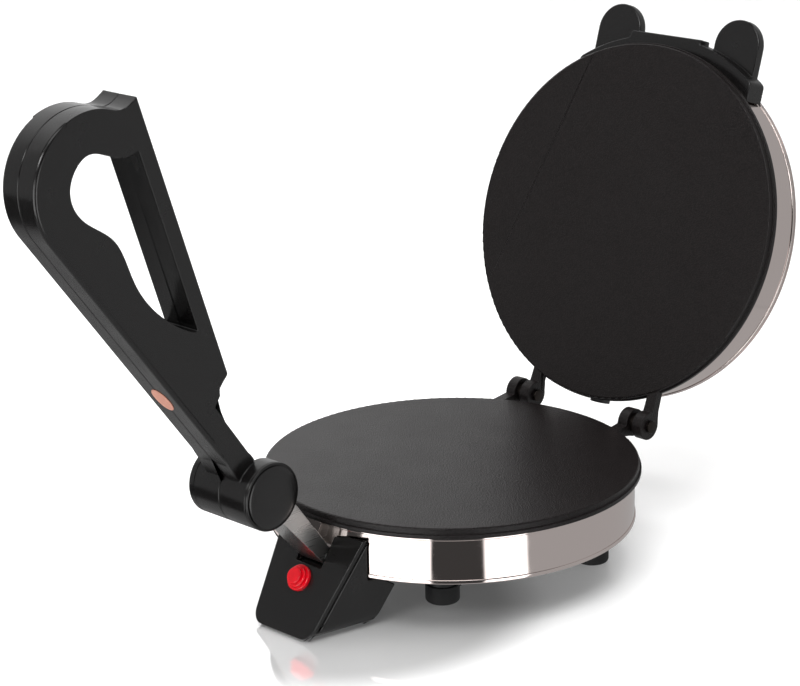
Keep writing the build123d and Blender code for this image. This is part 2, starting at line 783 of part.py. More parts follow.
def arm_link():
    """The folded steel channel between the housing and the hub."""
    body = slab(arm_face(), -arm_half_w, arm_half_w)
    inner_w = arm_half_w - arm_sheet
    body -= slab(arm_face(arm_sheet), -inner_w, inner_w)
    behind = outline([(arm_pivot_y, arm_pivot_z), (arm_mid_y, arm_mid_z), (hub_y, hub_z),
                      (hub_y, hub_z + far_cut), (arm_pivot_y + far_cut, arm_pivot_z)])
    body -= slab(arm_face(-arm_sheet), -inner_w, inner_w) & slab(behind, -inner_w, inner_w)
    body -= rod_x(arm_pin_r + running_fit, -arm_half_w, arm_half_w, arm_pivot_y, arm_pivot_z)
    sleeve_r = hub_bolt_r + hub_sleeve_t
    return body - rod_x(sleeve_r + running_fit, -arm_half_w, arm_half_w, hub_y, hub_z)


def arm_pivot_pin():
    """The pin in the housing on which the arm swings."""
    x = arm_half_w + slot_clear + arm_pin_grip - seat_gap
    return rod_x(arm_pin_r, -x, x, arm_pivot_y, arm_pivot_z)


# ---- Handle ------------------------------------------------------------------
def rounded(face, point, r):
    """Round the corner of a (y, z) face nearest to a point given from the hub."""
    y, z = at_hub([point])[0]
    corner = face.vertices().sort_by(lambda v: hypot(v.X - y, v.Y - z))[0]
    return fillet(corner, r)


def heel_tangent():
    """Where the straight back meets the heel's round, from the hub."""
    dy, dz = grip_heel_at[0] - grip_back_foot[0], grip_heel_at[1] - grip_back_foot[1]
    reach = hypot(dy, dz)
    a = atan2(dz, dy) + asin(grip_heel_r / reach)
    along = sqrt(reach ** 2 - grip_heel_r ** 2)
    return grip_back_foot[0] + along * cos(a), grip_back_foot[1] + along * sin(a)


def grip_face():
    """The grip's outline in (y, z), without its opening."""
    heel_top = (grip_heel_at[0], grip_heel_at[1] + grip_heel_r)
    leave = heel_tangent()
    turn = (atan2(leave[1] - grip_heel_at[1], leave[0] - grip_heel_at[0]) % tau + pi / 2) / 2
    heel_mid = (grip_heel_at[0] + grip_heel_r * cos(turn), grip_heel_at[1] + grip_heel_r * sin(turn))
    leave, heel_mid, heel_top = at_hub([leave, heel_mid, heel_top])
    saddle = [heel_top] + at_hub(grip_saddle + [grip_nose])
    rest = at_hub([grip_nose] + grip_shoulder + grip_neck + [grip_back_foot])
    edges = Spline(*saddle, tangents=[(1, 0), (1, 1)]) + ThreePointArc(leave, heel_mid, heel_top)
    face = make_face(edges + Polyline(*rest) + Line(rest[-1], leave))
    return rounded(face, grip_shoulder[0], grip_step_r)


def grip_back_edges(face):
    """The back's line and the heel's arc on a side face, which meet where they are tangent."""
    y, z = at_hub([heel_tangent()])[0]
    return face.outer_wire().edges().sort_by(
        lambda edge: min(hypot(v.Y - y, v.Z - z) for v in edge.vertices()))[:2]


def grip_opening():
    """The finger opening in (y, z)."""
    start = at_hub([opening_start])[0]
    curve = at_hub(opening_curve)
    return make_face(Line(start, curve[0]) + Spline(*curve) + Line(curve[-1], start))


def hub_mouth():
    """The space inside and beside the hub that the arm needs as it turns."""
    w = arm_half_w + side_play
    fan = [(hub_y, hub_z)]
    for i in range(mouth_steps + 1):
        a = radians(hub_mouth_from + (hub_mouth_to - hub_mouth_from) * i / mouth_steps)
        fan.append((hub_y + far_cut * cos(a), hub_z + far_cut * sin(a)))
    core = Pos(hub_y, hub_z) * Circle(hub_hollow_r)
    reach = Pos(hub_y, hub_z) * Circle(hub_r + mouth_reach)
    return slab(core + (outline(fan) & reach), -w, w)


def grip_body(side, x0, x1):
    """A half of the grip, rounded along its back and heel and sharp at its top."""
    grip = slab(grip_face(), x0, x1)
    top = block(x0, x1, hub_y + grip_edge_end_y, hub_y, hub_z + grip_heel_at[1], hub_z + far_cut + grip_heel_at[1])
    outer = grip.faces().sort_by(Axis.X)[-1 if side > 0 else 0]
    back = fillet(grip_back_edges(outer), grip_edge_r)
    return (back - top) + (grip & top)


def handle_blank(side):
    """One moulded half, side -1 on the left and 1 on the right."""
    x0, x1 = sorted((0.0, side * handle_half_t))
    grip = grip_body(side, x0, x1) - slab(grip_opening(), x0, x1)
    h0, h1 = sorted((0.0, side * hub_half_len))
    body = grip + rod_x(hub_r, h0, h1, hub_y, hub_z)
    body -= hub_mouth()
    return body - rod_x(hub_bolt_r + screw_fit, h0, h1, hub_y, hub_z)


def hub_end_recess(side):
    """The seat of the bolt head or nut inside each end of the hub."""
    x0, x1 = sorted((side * hub_seat_x, side * hub_half_len))
    return rod_x(hub_bolt_head_r + hub_end_room, x0, x1, hub_y, hub_z)


def handle_half_left():
    """The left half, drilled and recessed for the screws."""
    body = handle_blank(-1)
    for y, z in handle_screw_points:
        body -= rod_x(handle_screw_r + screw_fit, -handle_half_t, 0, y, z)
        body -= rod_x(handle_screw_head_r + screw_fit, -handle_half_t, screw_seat_x, y, z)
    return body - hub_end_recess(-1)


def handle_half_right():
    """The right half, with blind holes for the screws."""
    body = handle_blank(1)
    for y, z in handle_screw_points:
        body -= rod_x(handle_screw_r + screw_fit, 0, handle_screw_bite, y, z)
    return body - hub_end_recess(1)


def handle_screws():
    """Screws between the handle halves, entered from the left."""
    screws = []
    for y, z in handle_screw_points:
        head = rod_x(handle_screw_head_r, screw_seat_x - handle_screw_head_t, screw_seat_x, y, z)
        stem = rod_x(handle_screw_r, screw_seat_x, handle_screw_bite - hub_end_room, y, z)
        screws.append(head + stem)
    return screws


def hub_bolt():
    """The bolt through the hub on which the handle turns."""
    body = rod_x(hub_bolt_r, -hub_seat_x - hub_nut_t, hub_seat_x, hub_y, hub_z)
    return body + rod_x(hub_bolt_head_r, hub_seat_x, hub_seat_x + hub_bolt_head_t, hub_y, hub_z)


def hub_nut():
    """The hexagon nut on the bolt's left end."""
    hexagon = Pos(hub_y, hub_z) * RegularPolygon(hub_nut_r, 6)
    nut = slab(hexagon, -hub_seat_x - hub_nut_t, -hub_seat_x)
    return nut - rod_x(hub_bolt_r + seat_gap, -hub_half_len, 0, hub_y, hub_z)


def hub_sleeve():
    """The steel sleeve on the bolt, which turns in the arm's eye."""
    w = arm_half_w + side_play - seat_gap
    tube = rod_x(hub_bolt_r + hub_sleeve_t, -w, w, hub_y, hub_z)
    return tube - rod_x(hub_bolt_r + seat_gap, -w, w, hub_y, hub_z)


def hub_cap(side, thick):
    """A domed cap with a ring groove, which closes one end of the hub."""
    rim = thick - cap_rim_t
    floor = rim - cap_groove_t
    lip = hub_r - cap_rim_w
    dome = lip - cap_groove_w
    crown = TangentArc((0, thick), (dome, rim), tangent=(1, 0))
    steps = Polyline((dome, rim), (dome, floor), (lip, floor), (lip, rim), (hub_r - cap_edge, rim),
                     (hub_r, rim - cap_edge), (hub_r, 0), (0, 0), (0, thick))
    cap = revolve(Plane.XZ * make_face((crown + steps).edges()), Axis.Z)
    return Pos(side * hub_half_len, hub_y, hub_z) * Rot(0, side * 90, 0) * cap


def handle_badge():
    """A plain oval badge on the back of the grip, left blank."""
    lower, upper = at_hub([grip_back_foot, heel_tangent()])
    dy, dz = upper[0] - lower[0], upper[1] - lower[1]
    length = hypot(dy, dz)
    spot = (0, lower[0] + dy * badge_along / length, lower[1] + dz * badge_along / length)
    face = Plane(origin=spot, x_dir=(1, 0, 0), z_dir=(0, -dz, dy))
    return extrude(face * Ellipse(badge_w / 2, badge_len / 2), badge_t)


# ---- Electrical parts --------------------------------------------------------
def gland_hole(turn):
    """The round hole in a band for a gland, turned from the middle of the back."""
    hole = Rot(90, 0, 0) * Cylinder(gland_r + seat_gap, gland_len)
    return Rot(0, 0, turn) * Pos(0, shell_r, gland_z) * hole


def gland(length, turn):
    """A bored gland in the back of a band, drawn as if on the base."""
    inner = sqrt((shell_r - sheet_t) ** 2 - gland_flange_r ** 2) - seat_gap
    aim = Pos(0, inner, gland_z) * Rot(-90, 0, 0)
    body = aim * Pos(0, 0, length / 2 - gland_nut_t) * Cylinder(gland_r, length)
    body += aim * Pos(0, 0, -gland_nut_t / 2) * Cylinder(gland_flange_r, gland_nut_t)
    outer = shell_r + seat_gap - inner
    body += aim * Pos(0, 0, outer + gland_flange_t / 2) * Cylinder(gland_flange_r, gland_flange_t)
    return Rot(0, 0, turn) * (body - aim * Cylinder(gland_bore_r, far_cut))


def thermostat():
    """The bimetal thermostat pressed to the plate, with its two tabs."""
    z = web_bottom_z(web_t) - thermostat_h - seat_gap
    body = rod(thermostat_r, thermostat_h, 0, thermostat_y, z)
    y0, y1 = thermostat_y - tab_d / 2, thermostat_y + tab_d / 2
    for x in (-tab_x, tab_x):
        body += block(x - tab_w / 2, x + tab_w / 2, y0, y1, z - tab_h, z)
    return body


def terminal_block():
    """The ceramic terminal block, standing on the insulation board."""
    z = boss_end_z + insulation_t
    top = z + block_h
    body = block(-block_w / 2, block_w / 2, block_y - block_d / 2, block_y + block_d / 2, z, top)
    for i in range(way_count):
        x = (i - (way_count - 1) / 2) * way_pitch
        body -= rod(way_screw_r, way_screw_depth, x, block_y, top - way_screw_depth)
        body -= Pos(x, block_y, z + way_z) * Rot(90, 0, 0) * Cylinder(way_r, block_d)
    return body


def thermal_fuse():
    """The thermal fuse clipped under the plate."""
    aim = Pos(fuse_x, 0, web_bottom_z(web_t) - seat_gap - fuse_r) * Rot(90, 0, 0)
    lead = Cylinder(fuse_lead_r, fuse_len + 2 * fuse_lead_len)
    return aim * (Cylinder(fuse_r, fuse_len) + lead)


# ---- Assembly ----------------------------------------------------------------
def lid(shapes):
    """Pieces drawn as if on the base, moved to their place in the open lid."""
    return [open_lid(to_lid(s)) for s in shapes]


def make_parts():
    """Every node's solids, in the frame of the lower plate's axis."""
    return {
        "lower_plate": [casting(pin_r + seat_gap, web_t)],
        "base_shell": [base_shell()],
        "base_tray": [base_tray()],
        "leg_posts": leg_posts(),
        "rubber_feet": rubber_feet(),
        "tie_screws": tie_screws(),
        "front_housing": [front_housing()],
        "housing_front_panel": [housing_front_panel()],
        "housing_floor": [housing_floor()],
        "indicator_lens": [indicator_lens()],
        "lens_nut": [lens_nut()],
        "neon_lamp": [neon_lamp()],
        "lower_element": [element(web_t)],
        "lower_clamp": [clamp_plate(web_t)],
        "lower_clamp_screws": clamp_screws(web_t),
        "lower_insulation": [insulation()],
        "thermostat": [thermostat()],
        "thermal_fuse": [thermal_fuse()],
        "terminal_block": [terminal_block()],
        "cord_gland": [gland(gland_len, cord_turn)],
        "link_gland": [gland(link_gland_len, 0)],
        "hinge_pins": hinge_pins(),
        "hinge_spacers": hinge_spacers(),
        "hinge_clips": hinge_clips(),
        "arm_pivot_pin": [arm_pivot_pin()],
        "upper_plate": lid([casting(pin_r + running_fit, lid_web_t)]),
        "lid_cover": lid([lid_cover()]),
        "lid_gland": lid([gland(link_gland_len, 0)]),
        "cover_screws": lid(cover_screws()),
        "lid_front_bracket": [open_lid(lid_front_bracket())],
        "bracket_screws": [open_lid(s) for s in bracket_screws()],
        "upper_element": lid([element(lid_web_t)]),
        "upper_clamp": lid([clamp_plate(lid_web_t)]),
        "upper_clamp_screws": lid(clamp_screws(lid_web_t)),
        "upper_insulation": lid([insulation()]),
        "arm_link": [arm_link()],
        "handle_half_left": [handle_half_left()],
        "handle_half_right": [handle_half_right()],
        "handle_screws": handle_screws(),
        "hub_bolt": [hub_bolt()],
        "hub_nut": [hub_nut()],
        "hub_sleeve": [hub_sleeve()],
        "hub_cap_left": [hub_cap(-1, cap_left_t)],
        "hub_cap_right": [hub_cap(1, cap_t)],
        "handle_badge": [handle_badge()],
    }


def main():
    """Make the parts, centre them over the origin and write one STEP file for each."""
    parts = make_parts()
    boxes = [s.bounding_box() for solids in parts.values() for s in solids]
    low_y, high_y = min(b.min.Y for b in boxes), max(b.max.Y for b in boxes)
    shift = -(low_y + high_y) / 2
    for name, solids in parts.items():
        moved = [Pos(0, shift, 0) * s for s in solids]
        shape = moved[0] if len(moved) == 1 else Compound(children=moved)
        export_step(shape, f"parts/{name}.step")
    print("y shift", round(shift, 4))
    print("lid hinge at", round(hinge_y + shift, 4), round(hinge_z, 4))
    print("arm pivot at", round(arm_pivot_y + shift, 4), arm_pivot_z)
    print("hub at", round(hub_y + shift, 4), hub_z)
    for axis in "XYZ":
        print(axis, round(min(getattr(b.min, axis) for b in boxes), 2),
              round(max(getattr(b.max, axis) for b in boxes), 2))


main()
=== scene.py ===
"""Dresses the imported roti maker: its finishes, turned trim, rounded mouldings and studio.

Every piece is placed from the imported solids, in metres, in their frame. Each operator
makes one piece or a group of like pieces, and main() calls them in order.
"""
import json
from math import atan2, cos, pi, radians, sin, tan

import bmesh
import bpy
import numpy as np
from mathutils import Matrix, Vector


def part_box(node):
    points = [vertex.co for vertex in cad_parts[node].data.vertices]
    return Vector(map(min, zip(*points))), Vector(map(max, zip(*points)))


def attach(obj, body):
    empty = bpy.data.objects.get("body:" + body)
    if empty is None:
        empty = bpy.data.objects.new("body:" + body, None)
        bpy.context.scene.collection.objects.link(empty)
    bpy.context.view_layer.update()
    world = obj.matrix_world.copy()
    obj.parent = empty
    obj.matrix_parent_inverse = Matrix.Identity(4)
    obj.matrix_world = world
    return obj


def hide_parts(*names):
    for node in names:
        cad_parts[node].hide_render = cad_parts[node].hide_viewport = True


bl_info = {
    "name": "Roti maker dressing",
    "version": (1, 0, 0),
    "blender": (4, 5, 0),
    "location": "View3D > Sidebar > Roti maker",
    "description": "Finishes and detailed pieces for an electric roti maker",
    "category": "Object",
}

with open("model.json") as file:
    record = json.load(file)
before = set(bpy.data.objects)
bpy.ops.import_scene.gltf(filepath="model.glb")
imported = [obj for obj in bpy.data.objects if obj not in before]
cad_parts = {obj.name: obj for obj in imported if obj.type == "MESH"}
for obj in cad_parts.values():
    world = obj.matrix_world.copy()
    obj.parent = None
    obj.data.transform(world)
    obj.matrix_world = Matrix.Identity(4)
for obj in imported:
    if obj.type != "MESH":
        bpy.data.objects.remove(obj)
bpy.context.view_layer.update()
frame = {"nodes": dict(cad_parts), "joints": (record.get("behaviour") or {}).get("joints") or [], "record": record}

MM = 0.001
MERGE = 1e-6                        # corners closer than this are one corner, in metres
SLIVER = 20 * MERGE                 # faces thinner than this are dissolved before rounding
COPLANAR = radians(0.4)             # faces that meet at less than this angle are one face
SHARP = 32.0                        # edges bent by more degrees than this are sharp
FLAT_CORNERS = 8                    # a merged face with more corners than this is a flat
FLAT_SHARE = 0.45                   # share of an edge beside it that a rounding may take up
CORNER_SHARE = 0.9                  # share of its own length that an edge's rounding may take up
FULL_WEIGHT = 100                   # lets the widest face alone decide a corner's direction
X_AXIS, Z_AXIS = Vector((1, 0, 0)), Vector((0, 0, 1))
SLOT_OF = {part["node"]: part["material_slot"] for part in frame["record"]["subparts"]}
BODY_OF = {node: body for body, nodes in frame["record"]["behaviour"]["bodies"].items()
           for node in nodes}
JOINTS = {joint["name"]: joint for joint in frame["joints"]}


# ---- Places taken from the frame ---------------------------------------------
def joint_point(name):
    """A joint's place in the frame."""
    return Vector(JOINTS[name]["pos_m"])


def lid_pose():
    """The matrix that takes a piece drawn on the base to its place in the open lid."""
    hinge = joint_point("lid_hinge")
    move = Matrix.Translation(hinge)
    swing = Matrix.Rotation(-radians(JOINTS["lid_hinge"]["range_deg"][1]), 4, "X")
    over = Matrix.Translation((0, 0, hinge.z)) @ Matrix.Rotation(pi, 4, "Y")
    return move @ swing @ move.inverted() @ over @ Matrix.Translation((0, 0, -hinge.z))


def solids(node):
    """The corner points of each separate solid of a node, as arrays, lowest corner first."""
    mesh = bmesh.new()
    mesh.from_mesh(frame["nodes"][node].data)
    bmesh.ops.remove_doubles(mesh, verts=mesh.verts, dist=MERGE)
    waiting, groups = set(mesh.verts), []
    while waiting:
        queue, points = [waiting.pop()], []
        while queue:
            corner = queue.pop()
            points.append(corner.co[:])
            for edge in corner.link_edges:
                other = edge.other_vert(corner)
                if other in waiting:
                    waiting.remove(other)
                    queue.append(other)
        groups.append(np.array(points))
    mesh.free()
    return sorted(groups, key=lambda points: tuple(points.min(0).round(6)))


def long_axis(points):
    """The direction in which a solid is longest."""
    spread = np.cov((points - points.mean(0)).T)
    return Vector(np.linalg.eigh(spread)[1][:, -1])


def turned_span(points, axis):
    """The start and end, on its own axis, of a solid turned about that direction, and its radius."""
    side = axis.orthogonal().normalized()
    other = axis.cross(side)
    along, first, second = (points @ np.array(way) for way in (axis, side, other))
    offsets = [way * float(reach.min() + reach.max()) / 2 for way, reach in ((side, first), (other, second))]
    middle_line = offsets[0] + offsets[1]
    radius = float(first.max() - first.min()) / 2
    return middle_line + axis * float(along.min()), middle_line + axis * float(along.max()), radius


def flat_normal(node):
    """The outward direction of a node's widest flat face."""
    areas = {}
    for face in frame["nodes"][node].data.polygons:
        key = tuple(round(part, 3) for part in face.normal)
        areas[key] = areas.get(key, 0.0) + face.area
    return Vector(max(areas, key=areas.get)).normalized()


# ---- Sizes and colours a user would change -----------------------------------
def linear(code):
    """A hex colour as it is seen on a screen, turned to linear red, green and blue."""
    parts = [int(code[i:i + 2], 16) / 255 for i in (1, 3, 5)]
    return [c / 12.92 if c <= 0.04045 else ((c + 0.055) / 1.055) ** 2.4 for c in parts]


def length(name, description, millimetres):
    """A length property, given in millimetres and kept in metres."""
    return bpy.props.FloatProperty(name=name, description=description, default=millimetres * MM, min=0.0,
                                   subtype="DISTANCE", unit="LENGTH", precision=5)


def angle(name, description, in_degrees):
    """An angle property, given in degrees."""
    return bpy.props.FloatProperty(name=name, description=description, default=radians(in_degrees),
                                   subtype="ANGLE")


def colour(name, description, code):
    """A colour property, given as a hex colour."""
    return bpy.props.FloatVectorProperty(name=name, description=description, default=linear(code),
                                         size=3, min=0.0, max=1.0, subtype="COLOR")


def number(name, description, default, low=0.0, high=1.0):
    """A plain number property."""
    return bpy.props.FloatProperty(name=name, description=description, default=default, min=low, max=high)


class EdgeSizes(bpy.types.PropertyGroup):
    """How far the edges of each kind of piece are rounded."""

    moulding: length("Moulding", "Rounding of the edges of the moulded handle and housing", 0.7)
    bracket: length("Bracket", "Rounding of the edges of the lid's bracket and ears", 0.9)
    casting: length("Casting", "Rounding of the edges of the cast plates", 0.35)
    sheet: length("Sheet", "Rounding of the edges of folded and stamped steel", 0.35)
    small: length("Small", "Rounding of the edges of small mouldings", 0.3)


class BandSizes(bpy.types.PropertyGroup):
    """The polished bands of the base and the lid."""

    sheet: length("Sheet", "Thickness of the steel", 0.5)
    bead_h: length("Bead height", "Height of the rolled bead at each edge", 2.4)
    bead_out: length("Bead depth", "How far a bead stands out from the band", 0.6)
    lip: length("Lip", "Width of the inward lip under the base band", 5.6)
    corner: length("Cover corner", "Radius of the lid cover's rounded edge", 4.0)
    step_r: length("Cover step radius", "Radius of the shallow step pressed into the cover", 88.0)
    step_h: length("Cover step depth", "Depth of that step", 0.45)


class TrimSizes(bpy.types.PropertyGroup):
    """Turned and stepped small pieces."""

    round: length("Trim rounding", "Rounding of the edges of turned pieces", 0.5)
    foot_round: length("Foot rounding", "Rounding of the lower edge of a rubber foot", 1.8)
    cap_dome: length("Cap dome", "How far a hub cap's middle rises over its rim", 1.7)
    groove_w: length("Groove width", "Width of the ring groove in a hub cap", 0.6)
    groove_in: length("Groove inset", "How far the groove lies inside the cap's edge", 1.1)
    groove_t: length("Groove depth", "Depth of the ring groove", 0.5)
    recess_w: length("Recess width", "Width of each slot of a screw's cross recess", 1.1)
    recess_depth: length("Recess depth", "Depth of the cross recess", 1.2)
    lens_rings: bpy.props.IntProperty(name="Lens rings", description="Steps of the indicator's lens",
                                      default=3, min=1, max=6)


class FinishColours(bpy.types.PropertyGroup):
    """The colour of each finish."""

    nonstick: colour("Non-stick coating", "Coating on both cooking plates", "#1e1a1a")
    chrome: colour("Polished steel", "The bands and the lid cover", "#e6dad6")
    phenolic: colour("Phenolic moulding", "Handle, hub and front housing", "#100f0f")
    satin: colour("Satin plastic", "Glands and the nut behind the lens", "#1b1b1c")
    tray: colour("Tray moulding", "The pan and the posts under the base", "#161617")
    rubber: colour("Foot rubber", "The four feet", "#121213")
    dark_steel: colour("Blackened steel", "Hinge pins, spacers and clips", "#3a3532")
    zinc: colour("Zinc-plated steel", "Screws and inner steel parts", "#c2c4c6")
    nickel: colour("Nickel-plated steel", "The arm between the housing and the hub", "#d2d1cf")
    sheath: colour("Element sheath", "The heating elements", "#73685e")
    board: colour("Mineral board", "Heat insulation", "#cfc8b8")
    ceramic: colour("Ceramic", "The terminal block", "#e4dfd4")
    lens: colour("Lens", "The indicator's lens", "#e2061c")
    lamp: colour("Lamp glass", "The neon lamp", "#f2b27c")
    badge: colour("Badge", "The blank oval badge on the grip", "#c98c78")
    floor: colour("Floor", "The studio floor", "#ffffff")


class StudioSizes(bpy.types.PropertyGroup):
    """The camera, the floor and the lights."""

    azimuth: angle("Azimuth", "Direction of view, from +Y towards -X", 44.15)
    elevation: angle("Elevation", "Height of the camera as an angle", 17.81)
    roll: angle("Roll", "Turn of the camera about its view", -1.19)
    distance: length("Distance", "From the camera to its aim", 1461.0)
    lens_mm: number("Lens", "Focal length on a sensor 36 mm wide", 111.77, 20.0, 400.0)
    aim_left: length("Aim left", "How far the aim lies left of the middle of the lower plate", 30.46)
    aim_up: length("Aim up", "How far the aim lies above the middle of the lower plate", 67.8)
    floor_r: length("Floor radius", "Radius of the floor", 30000.0)
    mirror: number("Mirror", "Share of the floor's look beside the object that is a mirror image", 0.6)
    far_mirror: number("Far mirror", "The same share far away from the object", 0.12)
    image_near: length("Mirror near", "How far from the object's middle the mirror image is full", 84.0)
    image_far: length("Mirror far", "How far from the object's middle the mirror image has faded", 128.0)
    glow: number("Glow", "Light that the milky floor gives off by itself", 0.2)
    overhead: number("Overhead light", "Power of the light above the object, in watts", 40.0, 0.0, 500.0)
    dim: number("Dim surroundings", "Brightness between the bright zones", 0.05, 0.0, 5.0)
    edge: angle("Zone edge", "Softness of a bright zone's edge", 1.5)


GROUPS = {"roti_edges": EdgeSizes, "roti_bands": BandSizes, "roti_trim": TrimSizes,
          "roti_colours": FinishColours, "roti_studio": StudioSizes}


# ---- Nodes and materials -----------------------------------------------------
def add(tree, kind, inputs=None, **settings):
    """Adds a node with its settings; an input is given as a value or as a socket to link from."""
    node = tree.nodes.new(kind)
    for name, value in settings.items():
        setattr(node, name, value)
    for name, value in (inputs or {}).items():
        if isinstance(value, bpy.types.NodeSocket):
            tree.links.new(value, node.inputs[name])
        else:
            node.inputs[name].default_value = value
    return node


def per(millimetres):
    """The texture scale at which one cell of a pattern is that size."""
    return 1 / (millimetres * MM)


def finish(name, base, **sockets):
    """A material with a Principled shader; returns it with its tree, shader and coordinates."""
    made = bpy.data.materials.new(name)
    made.use_nodes = True
    tree = made.node_tree
    shader = tree.nodes["Principled BSDF"]
    shader.inputs["Base Color"].default_value = (*base, 1)
    for socket, value in sockets.items():
        shader.inputs[socket.replace("_", " ")].default_value = value
    coords = add(tree, "ShaderNodeTexCoord").outputs["Object"]
    return made, tree, shader, coords


def noise(tree, coords, millimetres, detail=2.0, distortion=0.0):
    """The socket of a noise whose patches are about that size."""
    return add(tree, "ShaderNodeTexNoise", {"Vector": coords, "Scale": per(millimetres), "Detail": detail,
                                            "Distortion": distortion}).outputs["Fac"]


def worked_out(tree, operation, *values):
    """The result socket of a calculation with numbers or sockets."""
    return add(tree, "ShaderNodeMath", dict(enumerate(values)), operation=operation).outputs[0]


def vary(tree, shader, socket, pattern, low, high):
    """Lets a pattern drive a number of the shader between two values."""
    spread = add(tree, "ShaderNodeMapRange", {"Value": pattern, "From Min": 0.3, "From Max": 0.7,
                                              "To Min": low, "To Max": high})
    tree.links.new(spread.outputs["Result"], shader.inputs[socket])


def tint(tree, shader, pattern, base, shade):
    """Lets a pattern mix the shader's colour between two tones."""
    mix = add(tree, "ShaderNodeMix", data_type="RGBA")
    tree.links.new(pattern, mix.inputs["Factor"])
    mix.inputs[6].default_value = (*base, 1)
    mix.inputs[7].default_value = (*[c * shade for c in base], 1)
    tree.links.new(mix.outputs[2], shader.inputs["Base Color"])


def raise_surface(tree, shader, height, depth_mm):
    """Gives the shader a bump that is depth_mm deep where the pattern goes from 0 to 1."""
    bump = add(tree, "ShaderNodeBump", {"Height": height, "Distance": depth_mm * MM, "Strength": 1.0})
    tree.links.new(bump.outputs["Normal"], shader.inputs["Normal"])


def nonstick_coating(c):
    """Sprayed non-stick coating on a blasted casting."""
    # Soft sheen over pebbles about 0.9 mm across, with painted shade: the colour darkens with the height of the
    # pebble pattern, standing in for the light and shade on the pebbles.
    made, tree, shader, coords = finish("nonstick_coating", c.nonstick, Roughness=0.3, IOR=1.35)
    cells = add(tree, "ShaderNodeTexVoronoi", {"Vector": coords, "Scale": per(0.9), "Smoothness": 0.6},
                feature="SMOOTH_F1")
    grain = noise(tree, coords, 0.45, 3.0)
    both = worked_out(tree, "ADD", cells.outputs["Distance"], grain)
    painted_relief_shade = add(tree, "ShaderNodeMapRange", {"Value": both, "From Min": 0.6, "From Max": 1.1})
    cloud = noise(tree, coords, 30.0, 4.0)
    # Painted shade: where the pebble pattern stands high the colour falls to 0.45 of the coating's.
    tint(tree, shader, painted_relief_shade.outputs["Result"], c.nonstick, 0.45)
    vary(tree, shader, "Roughness", cloud, 0.28, 0.33)
    raise_surface(tree, shader, both, 0.12)
    return made


def polished_chrome(c):
    """Chromed steel sheet, polished after pressing."""
    # A mirror with the faint long waves of pressed sheet and a trace of haze.
    made, tree, shader, coords = finish("polished_chrome", c.chrome, Metallic=1.0, Roughness=0.05)
    waves = noise(tree, coords, 45.0, 1.0)
    haze = noise(tree, coords, 14.0, 5.0)
    vary(tree, shader, "Roughness", haze, 0.035, 0.085)
    raise_surface(tree, shader, waves, 0.12)
    return made


def moulded_phenolic(c):
    """Phenolic compound, compression moulded in a polished tool."""
    # Near black with a clear gloss that breaks up slightly, as an orange peel, when seen close.
    made, tree, shader, coords = finish("moulded_phenolic", c.phenolic, Roughness=0.26, IOR=1.55)
    peel = noise(tree, coords, 1.6, 4.0)
    rub = noise(tree, coords, 18.0, 6.0)
    vary(tree, shader, "Roughness", rub, 0.17, 0.29)
    raise_surface(tree, shader, peel, 0.02)
    return made


def grained_plastic(name, base, roughness, grain_mm, depth_mm):
    """Plastic moulded in an etched tool, with an even grain."""
    # The grain keeps the highlights wide and dull.
    made, tree, shader, coords = finish(name, base, Roughness=roughness, IOR=1.5)
    grain = add(tree, "ShaderNodeTexVoronoi", {"Vector": coords, "Scale": per(grain_mm)})
    soil = noise(tree, coords, 22.0, 3.0)
    vary(tree, shader, "Roughness", soil, roughness - 0.06, roughness + 0.06)
    raise_surface(tree, shader, grain.outputs["Distance"], depth_mm)
    return made


def plated_steel(name, base, low, high):
    """Steel barrel-plated with zinc, or blackened in a bath."""
    # A soft metal shine with small cloudy spots.
    made, tree, shader, coords = finish(name, base, Metallic=1.0, Roughness=low)
    spots = noise(tree, coords, 2.5, 5.0)
    vary(tree, shader, "Roughness", spots, low, high)
    tint(tree, shader, spots, base, 0.8)
    return made


def brushed_nickel(c):
    """Nickel plate over steel strip that was linished along its length."""
    # Bright metal with fine lines along the arm, which streak its reflections.
    made, tree, shader, coords = finish("brushed_nickel", c.nickel, Metallic=1.0, Roughness=0.22)
    foot, hub = joint_point("arm_pivot"), joint_point("handle_pivot")
    slope = atan2(hub.z - foot.z, foot.y - hub.y)
    lines = add(tree, "ShaderNodeMapping", {"Vector": coords, "Rotation": (slope, 0, 0),
                                            "Scale": (per(0.5), per(30.0), per(0.5))})
    brush = noise(tree, lines.outputs["Vector"], 1 / MM, 3.0)
    vary(tree, shader, "Roughness", brush, 0.24, 0.4)
    raise_surface(tree, shader, brush, 0.006)
    return made


def element_sheath(c):
    """Steel element tube, annealed and tinted by heat."""
    # Dull brown-grey metal with uneven heat colour.
    made, tree, shader, coords = finish("annealed_sheath", c.sheath, Metallic=1.0, Roughness=0.42)
    heat = noise(tree, coords, 12.0, 4.0)
    tint(tree, shader, heat, c.sheath, 0.5)
    return made


def mineral_board(c):
    """Pressed mineral fibre board."""
    # A dry pale surface with short fibres.
    made, tree, shader, coords = finish("pressed_mineral_board", c.board, Roughness=0.95)
    fibre = noise(tree, coords, 1.2, 6.0, 1.5)
    tint(tree, shader, fibre, c.board, 0.7)
    raise_surface(tree, shader, fibre, 0.2)
    return made


def fired_ceramic(c):
    """Unglazed fired ceramic."""
    # Chalky white with fine grit.
    made, tree, shader, coords = finish("fired_ceramic", c.ceramic, Roughness=0.6)
    grit = noise(tree, coords, 0.4, 2.0)
    raise_surface(tree, shader, grit, 0.05)
    return made


def clear_red_lens(c):
    """Red polycarbonate, injection moulded, with a faint painted glow."""
    # Saturated red that keeps bright glints on its steps and a deeper tone between them; a weak emission paints a
    # red glow into the lens, which is no lamp.
    made, tree, shader, coords = finish("red_polycarbonate", c.lens, Roughness=0.12, IOR=1.58,
                                        Emission_Color=(*c.lens, 1), Emission_Strength=0.12)
    flow = noise(tree, coords, 3.0, 2.0)
    tint(tree, shader, flow, c.lens, 0.75)
    raise_surface(tree, shader, flow, 0.03)
    return made


